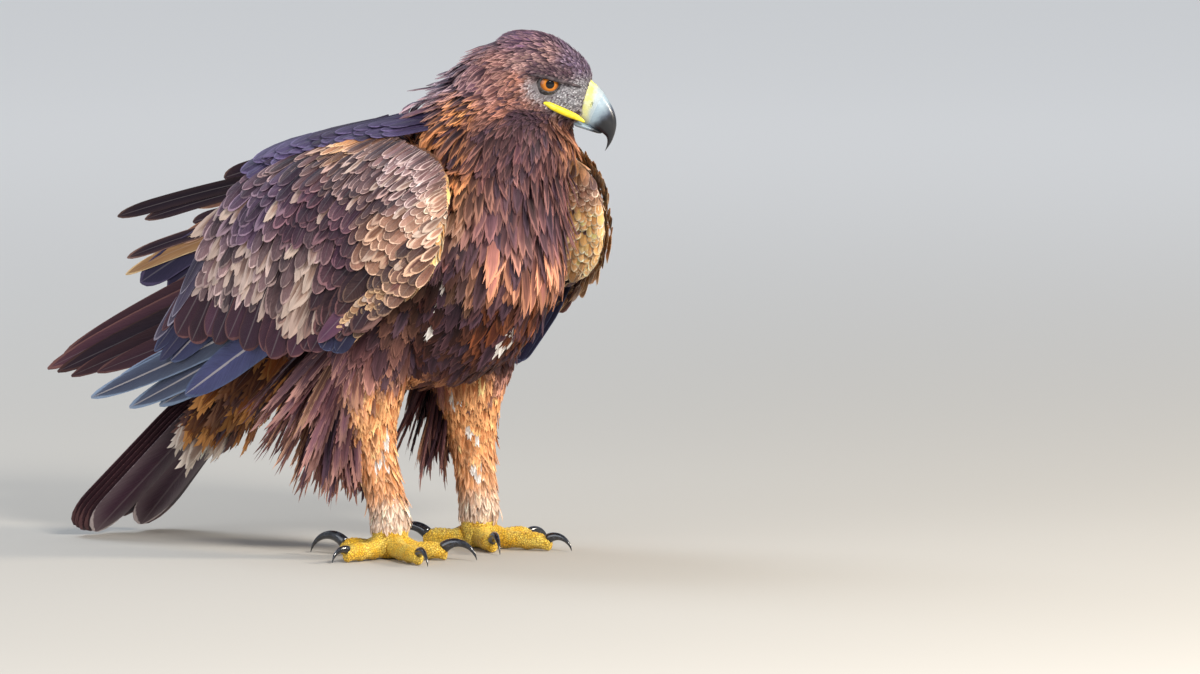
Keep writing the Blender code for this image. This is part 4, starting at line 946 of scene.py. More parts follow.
class Ground:
    """The skin as something to plant on: where it is nearest, its normal, and the spot on its unwrap."""

    def __init__(self, skin):
        mesh = skin.data
        self.tree = BVHTree.FromPolygons([v.co for v in mesh.vertices], [tuple(p.vertices) for p in mesh.polygons])
        normals = np.zeros(len(mesh.vertices) * 3)
        mesh.vertices.foreach_get("normal", normals)
        self.normals = normals.reshape(-1, 3)
        spots = np.zeros(len(mesh.loops) * 2)
        mesh.uv_layers["OFBake"].data.foreach_get("uv", spots)
        self.spots = spots.reshape(-1, 2)
        self.points, self.corners, self.starts, self.totals = mesh_arrays(mesh)

    def nearest(self, points):
        places, faces = np.zeros_like(points), np.zeros(len(points), int)
        for i, p in enumerate(points):
            place, _, face, _ = self.tree.find_nearest(Vector(p))
            places[i], faces[i] = place, face
        return places, faces

    def weights(self, places, faces):
        """The first four corners of each face, weighted by nearness to the place."""
        loops = self.starts[faces][:, None] + np.minimum(np.arange(4)[None, :], self.totals[faces][:, None] - 1)
        near = self.points[self.corners[loops]]
        weight = 1 / (((near - places[:, None, :]) ** 2).sum(2) + 1e-9)
        return loops, weight / weight.sum(1, keepdims=True)

    def normal_at(self, places, faces):
        loops, weight = self.weights(places, faces)
        normal = (self.normals[self.corners[loops]] * weight[:, :, None]).sum(1)
        return normal / np.linalg.norm(normal, axis=1, keepdims=True)

    def spot_at(self, places, faces):
        loops, weight = self.weights(places, faces)
        return (self.spots[loops] * weight[:, :, None]).sum(1)

    def scatter(self, count, draw):
        """Points spread evenly over the skin, at random, with the face of each."""
        a, b, c, d = (self.points[self.corners[self.starts + np.minimum(k, self.totals - 1)]] for k in range(4))
        area = np.linalg.norm(np.cross(c - a, d - b), axis=1) / 2
        faces = draw.choice(len(area), count, p=area / area.sum())
        s, t = draw.random((count, 1)), draw.random((count, 1))
        low, high = a[faces] * (1 - s) + b[faces] * s, d[faces] * (1 - s) + c[faces] * s
        return low * (1 - t) + high * t, faces


# Feather models, each made once: half widths across, from 0 to 1 along


def spike(root, tip, bulge, half):
    """A closed wisp of barbs from one place on the feather to another, swollen after its start."""
    bpy.ops.object.select_all(action="DESELECT")
    bpy.ops.mesh.primitive_cone_add(vertices=3, radius1=1, radius2=0, depth=1, location=(0, 0, 0))
    piece = bpy.context.active_object
    piece.data.transform(Matrix.Translation((0, 0, 0.5)))
    start_shaping(piece)
    bpy.ops.mesh.bisect(plane_co=(0, 0, bulge), plane_no=(0, 0, 1))
    bpy.ops.transform.resize(value=(1 / (1 - bulge), 1 / (1 - bulge), 1), center_override=(0, 0, bulge))
    stop_shaping()
    line = Vector(tip) - Vector(root)
    across = line.cross(Vector((0, 0, 1))).normalized()
    up = across.cross(line).normalized()
    if up.z < 0:
        up.negate()
    turn = Matrix((across * half, up * half * 0.25, line)).transposed().to_4x4()
    piece.data.transform(Matrix.Translation(root) @ turn)
    map_across(piece)
    return piece


def map_across(piece):
    """Writes on the model's map how far across the feather each corner lies."""
    points, corners, *_ = mesh_arrays(piece.data)
    spots = np.stack([np.clip(points[corners, 0] * 0.5 + 0.5, 0, 1), points[corners, 1]], axis=1)
    piece.data.uv_layers[0].data.foreach_set("uv", spots.astype(np.float32).ravel())


def leaf(columns, stations, camber, thickness):
    """A feather's vane: a grid, narrowed row by row, with its shaft raised, and given a thickness."""
    rows = len(stations) - 1
    bpy.ops.object.select_all(action="DESELECT")
    bpy.ops.mesh.primitive_grid_add(x_subdivisions=columns, y_subdivisions=rows, size=2)
    piece = bpy.context.active_object
    start_shaping(piece)
    bpy.ops.transform.translate(value=(0, 1, 0))
    bpy.ops.transform.resize(value=(1, rows / 2, 1), center_override=(0, 0, 0))
    lines = rows_along(piece, 1, rows + 1)
    for k, line in enumerate(lines):
        along, wide, lean = stations[k]
        pick(piece, line)
        bpy.ops.transform.resize(value=(wide, 1, 1), center_override=(0, k, 0))
        bpy.ops.transform.translate(value=(lean, along - k, 0))
    bpy.ops.mesh.select_all(action="SELECT")
    bpy.ops.mesh.remove_doubles(threshold=0.0001)
    stop_shaping()
    for v in piece.data.vertices:
        v.co.z = camber * (1 - min(1.0, abs(v.co.x)) ** 1.5)
    add_modifier(piece, "SOLIDIFY", thickness=thickness, offset=-1)
    start_shaping(piece)
    bpy.ops.mesh.remove_doubles(threshold=0.0001)
    bpy.ops.mesh.normals_make_consistent(inside=False)
    stop_shaping()
    return piece


def narrow_leaf():
    return leaf(2, ((0, 0.35, 0), (0.25, 0.85, 0), (0.55, 1.0, 0), (0.82, 0.62, 0), (1.0, 0.04, 0)), 0.30, 0.10)


def model_tuft():
    """A small face feather, with two wisps at its end."""
    pieces = [leaf(2, ((0, 0.40, 0), (0.35, 0.95, 0), (0.75, 0.72, 0), (1.0, 0.06, 0)), 0.30, 0.10)]
    for x, end in ((-0.8, 0.92), (0.85, 0.88)):
        pieces.append(spike((x * 0.4, 0.35, 0.12), (x, end, 0.02), 0.35, 0.24))
    return join(pieces, "tuft")


def model_lance():
    """A long pointed feather of the neck."""
    pieces = [narrow_leaf()]
    for x, start, end in ((-1.0, 0.30, 0.82), (1.0, 0.30, 0.80), (-0.62, 0.5, 0.97), (0.66, 0.5, 0.95)):
        pieces.append(spike((x * 0.55, start, 0.16), (x * 1.05, end, 0.0), 0.3, 0.20))
    return join(pieces, "lance")


def model_body():
    """A feather of the trunk, whose barbs part all round its end."""
    outline = ((0, 0.30, 0), (0.25, 0.80, 0), (0.55, 0.95, 0), (0.80, 0.72, 0), (0.95, 0.30, 0), (1.0, 0.05, 0))
    pieces = [leaf(2, outline, 0.26, 0.08)]
    wisps = ((-1.15, 0.25, 0.66), (1.15, 0.25, 0.64), (-1.10, 0.42, 0.84), (1.08, 0.42, 0.82),
             (-0.70, 0.60, 1.00), (0.75, 0.60, 0.97), (-0.28, 0.66, 1.06), (0.30, 0.66, 1.05))
    for x, start, end in wisps:
        pieces.append(spike((x * 0.45, start, 0.18), (x, end, 0.02), 0.3, 0.20))
    return join(pieces, "body")


def model_plume():
    """A long loose feather of the flanks and trousers, open almost to its shaft."""
    pieces = [leaf(2, ((0, 0.25, 0), (0.3, 0.62, 0), (0.6, 0.70, 0), (0.85, 0.40, 0), (1.0, 0.04, 0)), 0.26, 0.08)]
    for k in range(12):
        hand = -1 if k % 2 else 1
        start = 0.12 + 0.065 * k
        reach = 1.25 - 0.055 * k
        pieces.append(spike((hand * 0.22, start, 0.20), (hand * reach, start + 0.30, -0.04), 0.35, 0.19))
    return join(pieces, "plume")


def model_scale():
    """A firm covert with a round end."""
    outline = ((0, 0.40, 0), (0.30, 0.86, 0), (0.58, 1.0, 0), (0.78, 0.95, 0), (0.90, 0.76, 0), (0.965, 0.50, 0),
               (1.0, 0.18, 0))
    return join([leaf(4, outline, 0.22, 0.06)], "scale")


def model_worn():
    """A covert whose end is worn to uneven points."""
    outline = ((0, 0.40, 0), (0.30, 0.84, 0), (0.58, 0.98, 0), (0.78, 0.80, 0.04), (0.90, 0.50, 0.08), (1.0, 0.10, 0.10))
    pieces = [leaf(4, outline, 0.22, 0.06)]
    for x, start, end in ((-0.72, 0.60, 0.88), (-0.38, 0.70, 0.97), (0.46, 0.72, 1.02), (0.80, 0.58, 0.86)):
        pieces.append(spike((x * 0.7, start, 0.10), (x, end, 0.02), 0.3, 0.22))
    return join(pieces, "worn")


def model_quill(name, full, taper, lean):
    """A long feather: its vane, narrower on its leading side and drawn in after full, and its shaft."""
    rows = 20
    outline = []
    for k in range(rows + 1):
        t = k / rows
        along = 1 - (1 - t) ** 1.3
        wide = 0.50 + 0.50 * min(1.0, along / 0.4)
        if along > full:
            wide *= math.sqrt(max(0.0, 1 - ((along - full) / (1.002 - full)) ** taper))
        outline.append((along, max(0.04, wide), lean * min(1.0, along / 0.4)))
    vane = leaf(6, outline, 0.14, 0.035)
    bpy.ops.object.select_all(action="DESELECT")
    bpy.ops.mesh.primitive_cone_add(vertices=5, radius1=0.055, radius2=0.008, depth=1, location=(0, 0, 0))
    shaft = bpy.context.active_object
    shaft.data.transform(Matrix.Rotation(math.radians(-90), 4, "X"))
    shaft.data.transform(Matrix.Translation((lean * 0.6, 0.5, 0.125)))
    start_shaping(shaft)
    bpy.ops.mesh.subdivide(number_cuts=3)
    stop_shaping()
    shaft.data.uv_layers[0].data.foreach_set("uv", [0.5] * (2 * len(shaft.data.loops)))
    return join([vane, shaft], name)


MODELS = {
    "tuft": model_tuft,
    "lance": model_lance,
    "body": model_body,
    "plume": model_plume,
    "scale": model_scale,
    "worn": model_worn,
    "flight": lambda: model_quill("flight", 0.84, 2.0, 0.10),
    "point": lambda: model_quill("point", 0.60, 1.8, 0.16),
    "slate": lambda: model_quill("slate", 0.62, 1.7, 0.16),
}
PATCH = 0.003


class Plumage:
    """Feathers of one kind, gathered as spines, and then laid as one joined mesh."""

    def __init__(self, kind):
        self.kind = kind
        self.rows = {name: [] for name in ("spine", "normal", "half", "shade", "fringe", "nature", "spot")}

    def add(self, **row):
        for name, values in row.items():
            self.rows[name].append(values)

    def lay(self, model):
        """The joined mesh: every point of the model set on every spine."""
        spine, normal, half, shade, fringe, nature, spot = (np.concatenate(rows) for rows in self.rows.values())
        points, corners, starts, _ = mesh_arrays(model.data)
        across = np.zeros(len(corners) * 2)
        model.data.uv_layers[0].data.foreach_get("uv", across)
        vane = np.stack([across[::2], points[corners, 1]], axis=1)
        count, steps = spine.shape[0], spine.shape[1] - 1
        place = points[:, 1] * steps
        low = np.clip(np.floor(place).astype(int), 0, steps - 1)
        share = (place - low)[None, :, None]
        middle = spine[:, low] * (1 - share) + spine[:, low + 1] * share
        up = normal[:, low] * (1 - share) + normal[:, low + 1] * share
        ahead = spine[:, low + 1] - spine[:, low]
        ahead /= np.linalg.norm(ahead, axis=2, keepdims=True) + 1e-12
        up -= ahead * (up * ahead).sum(2, keepdims=True)
        up /= np.linalg.norm(up, axis=2, keepdims=True) + 1e-12
        side = np.cross(ahead, up)
        wide = half[:, None, None]
        laid = middle + side * points[None, :, 0:1] * wide + up * points[None, :, 2:3] * wide
        mesh = bpy.data.meshes.new(self.kind)
        size = len(points)
        mesh.vertices.add(count * size)
        mesh.vertices.foreach_set("co", laid.astype(np.float32).ravel())
        offsets = np.arange(count)[:, None]
        mesh.loops.add(count * len(corners))
        mesh.loops.foreach_set("vertex_index", (corners[None, :] + offsets * size).ravel())
        mesh.polygons.add(count * len(starts))
        mesh.polygons.foreach_set("loop_start", (starts[None, :] + offsets * len(corners)).ravel())
        mesh.update(calc_edges=True)
        add_map(mesh, "vane", np.tile(vane, (count, 1)))
        add_map(mesh, "OFBake", (spot[:, None, :] + (vane[None, :, :] - 0.5) * PATCH).reshape(-1, 2))
        add_attribute(mesh, "shade", "FLOAT_COLOR", opaque(np.repeat(shade, size, axis=0)))
        add_attribute(mesh, "fringe", "FLOAT_COLOR", opaque(np.repeat(fringe, size, axis=0)))
        add_attribute(mesh, "nature", "FLOAT_VECTOR", np.repeat(nature, size, axis=0))
        mesh.shade_smooth()
        mesh.set_sharp_from_angle(angle=math.radians(50))
        made = bpy.data.objects.new(self.kind, mesh)
        bpy.context.scene.collection.objects.link(made)
        return made


STEPS = 5
EYE_CLEAR = 0.0030
EYES = [np.array(HEAD_PLACE @ Vector((EYE_PLACE.x, EYE_PLACE.y * hand, EYE_PLACE.z))) for hand in (1, -1)]


def colour_feathers(grown, root, draw):
    """Each feather's own shade and fringe: lighter and darker ones mixed, and the white ones."""
    count = len(root)
    shade = grown["shade"] * np.exp(draw.normal(0, 0.30, (count, 1)))
    fringe = grown["fringe"] * np.exp(draw.normal(-0.03, 0.24, (count, 1)))
    dark = (draw.random(count) < grown["dark"])[:, None]
    mixed = draw.uniform(0.5, 1.0, (count, 1)) * dark
    shade = shade * (1 - mixed) + DARK_SHADE * mixed
    fringe = fringe * (1 - mixed) + DARK_FRINGE * mixed
    white = (white_share(root) > draw.random(count))[:, None]
    shade = np.where(white, WHITE_SHADE, shade)
    fringe = np.where(white, WHITE_FRINGE, fringe)
    wear = np.clip(grown["wear"][:, None] + draw.normal(0, 0.14, (count, 1)), 0, 1)
    nature = np.concatenate([draw.random((count, 1)), wear, np.zeros((count, 1))], axis=1)
    return np.clip(shade, 0, 0.9), np.clip(fringe, 0, 0.95), nature


def grow_coat(coat, ground, draw):
    """Plants the small feathers over the whole skin and traces each along the way that the coat lies."""
    spots, faces = ground.scatter(260000, draw)
    grown = coat.at(spots)
    kind = grown["kind"]
    spacing = np.full(len(spots), 1.0)
    for name, layers in LAYERS.items():
        here = kind == KINDS.index(name)
        spacing[here] = np.sqrt(2 * grown["half"][here] * grown["length"][here] / layers)
    level = np.round(np.log(spacing) / math.log(1.12))
    cell = np.exp(level * math.log(1.12))
    keys = np.concatenate([level[:, None], np.floor(spots / cell[:, None])], axis=1)
    _, first = np.unique(keys, axis=0, return_index=True)
    keep = first[kind[first] != 0]
    for eye in EYES:
        keep = keep[np.linalg.norm(spots[keep] - eye, axis=1) > EYE_RADIUS + 0.0005]
    keep.sort()
    root, face = spots[keep], faces[keep]
    grown = {name: values[keep] for name, values in grown.items()}
    count = len(keep)
    size = grown["length"] * draw.uniform(0.78, 1.18, count)
    ruffled = (grown["kind"] == KINDS.index("lance")) & (draw.random(count) < 0.12) & (root[:, 2] < 0.425)
    lift = np.sin(grown["lift"] * draw.uniform(0.6, 1.4, count) * np.where(ruffled, 2.2, 1.0))
    turn = draw.normal(0.0, 0.10, (count, 1))
    place, normal = root.copy(), ground.normal_at(root, face)
    spine, normals = [], []
    for step in range(STEPS + 1):
        t = step / STEPS
        spine.append(place + normal * (size * lift * t - 0.0006)[:, None])
        normals.append(normal)
        lie = coat.at(place)["lie"]
        lie = lie + np.cross(normal, lie) * turn
        lie -= normal * (lie * normal).sum(1, keepdims=True)
        lie /= np.linalg.norm(lie, axis=1, keepdims=True) + 1e-9
        moved = place + lie * (size / STEPS)[:, None]
        place, hit = ground.nearest(moved)
        normal = ground.normal_at(place, hit)
    shade, fringe, nature = colour_feathers(grown, root, draw)
    return {
        "kind": grown["kind"],
        "spine": np.stack(spine, 1),
        "normal": np.stack(normals, 1),
        "half": grown["half"] * draw.uniform(0.85, 1.15, count),
        "shade": shade,
        "fringe": fringe,
        "nature": nature,
        "spot": ground.spot_at(root, face),
    }


def clear_of_eyes_and_wings(planted):
    """True for the feathers that stay off both eyes and, on the neck, off the wings' coverts."""
    tip = planted["spine"][:, -1]
    shouldered = (np.abs(tip[:, 1]) > 0.094) & (tip[:, 2] > 0.300) & (tip[:, 2] < 0.385)
    clear = (planted["kind"] != KINDS.index("lance")) | ~shouldered
    for eye in EYES:
        near = np.linalg.norm(planted["spine"] - eye, axis=2).min(1)
        clear &= near > EYE_RADIUS - 0.0002
    return clear


# Wings

# Rows of coverts, seen from the side: roots at the front, middle and rear, headings, and the lift of the tips
TIERS = (
    (((0.086, 0.316), (0.066, 0.358), (-0.020, 0.382)), (226, 232, 214), 0.0046),
    (((0.083, 0.330), (0.036, 0.366), (-0.046, 0.374)), (222, 238, 220), 0.0052),
    (((0.084, 0.312), (-0.006, 0.350), (-0.120, 0.346)), (222, 243, 226), 0.0055),
    (((0.084, 0.290), (-0.024, 0.328), (-0.144, 0.320)), (224, 248, 236), 0.0050),
    (((0.079, 0.268), (-0.036, 0.300), (-0.152, 0.298)), (228, 252, 239), 0.0038),
    (((0.052, 0.248), (-0.050, 0.270), (-0.150, 0.280)), (236, 250, 241), 0.0014),
)
# Rows from the leading edge down, each given by its place among the tiers; the coverts' lengths and half widths in
# millimetres and their colourings come from the looks below
ROWS = (-1.0, -0.68, -0.36, -0.04, 0.26, 0.56, 0.86, 1.16, 1.48, 1.82, 2.16, 2.52, 2.90, 3.28, 3.62, 3.88, 4.0)
# Colourings of the wings and tail: shade, fringe, reach of the fringe, and the shares of dark and of bleached feathers
WING_COLOURS = {
    "shoulder": ((0.420, 0.160, 0.055), (0.930, 0.560, 0.300), 0.54, 0.05, 0.10),
    "fan": ((0.048, 0.022, 0.026), (0.480, 0.320, 0.300), 0.48, 0.38, 0.10),
    "wrist_top": ((0.180, 0.092, 0.092), (0.740, 0.550, 0.520), 0.50, 0.12, 0.10),
    "wrist": ((0.400, 0.200, 0.135), (0.880, 0.610, 0.470), 0.50, 0.06, 0.15),
    "front": ((0.260, 0.115, 0.072), (0.760, 0.480, 0.335), 0.48, 0.22, 0.15),
    "front_low": ((0.090, 0.036, 0.032), (0.660, 0.410, 0.280), 0.44, 0.42, 0.10),
    "inner": ((0.064, 0.028, 0.036), (0.420, 0.270, 0.245), 0.46, 0.36, 0.10),
    "middle": ((0.040, 0.015, 0.034), (0.250, 0.120, 0.150), 0.40, 0.52, 0.14),
    "rear": ((0.042, 0.020, 0.052), (0.270, 0.180, 0.250), 0.42, 0.40, 0.14),
    "band": ((0.170, 0.090, 0.098), (0.640, 0.460, 0.430), 0.46, 0.20, 0.52),
    "greater": ((0.009, 0.004, 0.008), (0.140, 0.062, 0.064), 0.42, 0.38, 0.06),
    "greater_pale": ((0.050, 0.025, 0.030), (0.280, 0.170, 0.140), 0.42, 0.20, 0.50),
    "greater_rear": ((0.048, 0.025, 0.042), (0.200, 0.120, 0.125), 0.40, 0.25, 0.14),
    "edge": ((0.200, 0.095, 0.050), (0.600, 0.380, 0.220), 0.50, 0.20, 0.15),
    # scapular: dark feathers tinted blue, partly their own colour and partly a painted sky reflection on their sheen.
    "scapular": ((0.040, 0.028, 0.072), (0.130, 0.098, 0.200), 0.34, 0.20, 0.00),
    "alula": ((0.095, 0.040, 0.075), (0.260, 0.130, 0.140), 0.40, 0.00, 0.00),
    "secondary": ((0.050, 0.020, 0.034), (0.135, 0.060, 0.062), 0.46, 0.25, 0.00),
    # slate, tertial, the great feathers over the hand and primary: dark feathers tinted blue-grey and lavender, partly
    # their own colour and partly a painted sky reflection on their sheen.
    "slate": ((0.026, 0.024, 0.058), (0.090, 0.105, 0.190), 0.36, 0.00, 0.00),
    "tertial": ((0.044, 0.035, 0.062), (0.300, 0.270, 0.340), 0.50, 0.00, 0.00),
    "great_sky_sheen": ((0.040, 0.042, 0.100), (0.100, 0.130, 0.240), 0.42, 0.00, 0.00),
    "primary": ((0.060, 0.070, 0.115), (0.240, 0.310, 0.430), 0.55, 0.00, 0.00),
    "far_primary": ((0.048, 0.018, 0.028), (0.165, 0.075, 0.068), 0.46, 0.20, 0.00),
    "blown": ((0.020, 0.010, 0.020), (0.150, 0.085, 0.070), 0.40, 0.10, 0.00),
    # A blown feather tinted blue, partly its own dark colour and partly a painted sky reflection.
    "blown_sky_sheen": ((0.020, 0.016, 0.040), (0.070, 0.055, 0.110), 0.36, 0.00, 0.00),
    "blown_rust": ((0.150, 0.070, 0.050), (0.420, 0.240, 0.160), 0.50, 0.00, 0.00),
    "blown_gold": ((0.340, 0.180, 0.080), (0.740, 0.520, 0.280), 0.62, 0.00, 0.00),
    "tail": ((0.020, 0.006, 0.014), (0.105, 0.048, 0.052), 0.40, 0.20, 0.00),
    "tail_edge": ((0.050, 0.020, 0.038), (0.560, 0.480, 0.480), 0.36, 0.00, 0.00),
}
BLEACHED_SHADE = np.array((0.330, 0.200, 0.150))
BLEACHED_FRINGE = np.array((0.580, 0.440, 0.360))
# The look of the coverts over the wing, seen from the side: x and z, length and half width in millimetres
WING_LOOKS = (
    (-38, 374, 26, 2.6, "shoulder"),
    (-58, 372, 26, 2.6, "shoulder"),
    (-62, 352, 30, 3.0, "fan"),
    (-95, 352, 34, 3.6, "fan"),
    (-20, 345, 24, 2.8, "fan"),
    (32, 344, 17, 2.5, "wrist_top"),
    (60, 340, 14, 2.5, "wrist_top"),
    (52, 322, 17, 2.8, "wrist_top"),
    (78, 318, 13, 2.6, "wrist"),
    (68, 300, 17, 3.4, "wrist"),
    (84, 288, 13, 3.0, "wrist"),
    (60, 262, 24, 5.4, "front_low"),
    (78, 262, 16, 3.6, "front"),
    (48, 242, 28, 6.2, "front_low"),
    (28, 320, 19, 3.2, "inner"),
    (32, 296, 23, 5.0, "front"),
    (0, 322, 22, 3.8, "inner"),
    (-8, 300, 26, 5.2, "middle"),
    (-50, 318, 28, 5.4, "middle"),
    (-90, 326, 32, 5.8, "rear"),
    (-112, 300, 38, 6.4, "rear"),
    (-60, 292, 32, 6.2, "middle"),
    (-5, 270, 36, 6.2, "middle"),
    (28, 270, 28, 6.6, "front"),
    (-50, 268, 44, 5.8, "band"),
    (-95, 264, 46, 5.8, "band"),
    (-130, 250, 54, 6.2, "band"),
    (12, 236, 54, 9.8, "greater"),
    (-20, 240, 60, 9.2, "greater"),
    (-50, 225, 68, 8.0, "greater_pale"),
    (-90, 215, 76, 8.6, "greater"),
    (-128, 210, 86, 8.6, "greater_rear"),
    (-2, 212, 60, 9.4, "greater"),
    (-80, 195, 88, 9.2, "greater"),
    (-40, 200, 74, 10.0, "greater_pale"),
)
SECONDARY_LENGTHS = {"right": (0.066, 0.094, 0.104), "left": (0.100, 0.148, 0.166)}
HAND_ROOT = (0.020, 0.258)
HAND_LIFT = -0.0085
HAND_STEP = 0.0013
# Wing tips: root and tip of each primary, and how far its tip is drawn towards the bird's middle
PRIMARIES = {
    "right": (
        ((0.020, 0.258), (-0.340, 0.1245), 0.000),
        ((0.018, 0.255), (-0.310, 0.1420), -0.002),
        ((0.016, 0.252), (-0.298, 0.1180), -0.004),
        ((0.014, 0.249), (-0.262, 0.1220), -0.006),
    ),
    "left": (
        ((-0.120, 0.328), (-0.452, 0.1560), -0.026),
        ((-0.110, 0.318), (-0.468, 0.1420), -0.027),
        ((-0.100, 0.308), (-0.456, 0.1400), -0.028),
        ((-0.090, 0.296), (-0.440, 0.1370), -0.029),
        ((-0.080, 0.282), (-0.412, 0.1420), -0.030),
        ((-0.070, 0.268), (-0.380, 0.1440), -0.031),
    ),
}
# Long feathers over the rear of the wing: root, heading, length, half width, bend, lift and colouring
TERTIALS = (
    ((-0.116, 0.338), 228, 0.142, 0.0065, 5, 0.0040, "tertial"),
    ((-0.124, 0.326), 230, 0.152, 0.0070, 3, 0.0034, "tertial"),
    ((-0.130, 0.314), 229, 0.150, 0.0075, 3, 0.0028, "tertial"),
    ((-0.136, 0.302), 227, 0.146, 0.0075, 2, 0.0022, "secondary"),
    ((-0.140, 0.290), 225, 0.150, 0.0080, 0, 0.0016, "tertial"),
    ((-0.138, 0.278), 224, 0.150, 0.0090, 0, 0.0010, "slate"),
    ((-0.128, 0.266), 222, 0.150, 0.0100, 0, 0.0004, "slate"),
    ((-0.100, 0.262), 217, 0.160, 0.0140, 0, -0.0040, "great_sky_sheen"),
    ((-0.030, 0.236), 209, 0.206, 0.0165, 0, -0.0062, "great_sky_sheen"),
    ((0.030, 0.252), 223, 0.078, 0.0085, 3, 0.0062, "alula"),
)
# Feathers of the far wing that the wind lifts: root, heading, length, half width, bend and colouring
BLOWN = (
    ((-0.150, 0.366), 195, 0.160, 0.0085, 4, "blown"),
    ((-0.152, 0.362), 197, 0.138, 0.0075, 6, "blown"),
    ((-0.185, 0.338), 191, 0.236, 0.0062, 7, "blown"),
    ((-0.188, 0.334), 193, 0.205, 0.0055, 6, "blown"),
    ((-0.200, 0.326), 191, 0.142, 0.0085, 4, "blown_rust"),
    ((-0.200, 0.310), 188, 0.160, 0.0070, 22, "blown_rust"),
    ((-0.200, 0.306), 187, 0.140, 0.0065, 10, "blown"),
    ((-0.200, 0.300), 190, 0.212, 0.0052, 12, "blown"),
    ((-0.202, 0.297), 191, 0.216, 0.0072, 16, "blown_gold"),
    ((-0.205, 0.292), 193, 0.160, 0.0070, 6, "blown"),
    ((-0.215, 0.326), 209, 0.205, 0.0130, 4, "blown_sky_sheen"),
    ((-0.212, 0.318), 212, 0.182, 0.0120, 4, "blown_sky_sheen"),
)


def wing_spine(root, angle, length, lifts, bend, roll, steps):
    """The spine and normals of a feather laid over the left wing's face."""
    x, z = root
    spine, normals = [], []
    for k in range(steps + 1):
        t = k / steps
        place, normal = wing_point(x, z, lifts[0] + (lifts[1] - lifts[0]) * t)
        ahead = Vector((math.cos(angle + bend * t), 0, math.sin(angle + bend * t)))
        ahead = (ahead - normal * ahead.dot(normal)).normalized()
        spine.append(place)
        normals.append(Matrix.Rotation(roll, 3, ahead) @ normal)
        middle = angle + bend * (t + 0.5 / steps)
        x += math.cos(middle) * length / steps
        z += math.sin(middle) * length / steps
    return np.array(spine), np.array(normals)


def wing_look(x, z):
    """Length, half width and colouring of the coverts at a place on the wing's face."""
    weights = [1 / ((x / MM - a) ** 2 + (z / MM - b) ** 2 + 9) ** 2 for a, b, *_ in WING_LOOKS]
    total = sum(weights)
    length = sum(w * look[2] for w, look in zip(weights, WING_LOOKS)) / total * MM
    half = sum(w * look[3] for w, look in zip(weights, WING_LOOKS)) / total * MM
    return length, half, [(w / total, look[4]) for w, look in zip(weights, WING_LOOKS)]


def mixed_colouring(shares):
    """One colouring out of several, each with its share."""
    rows = [(w, (*c[0], *c[1], *c[2:])) for w, c in ((w, WING_COLOURS[name]) for w, name in shares)]
    mean = [sum(w * row[k] for w, row in rows) for k in range(9)]
    return tuple(mean[:3]), tuple(mean[3:6]), mean[6], mean[7], mean[8]


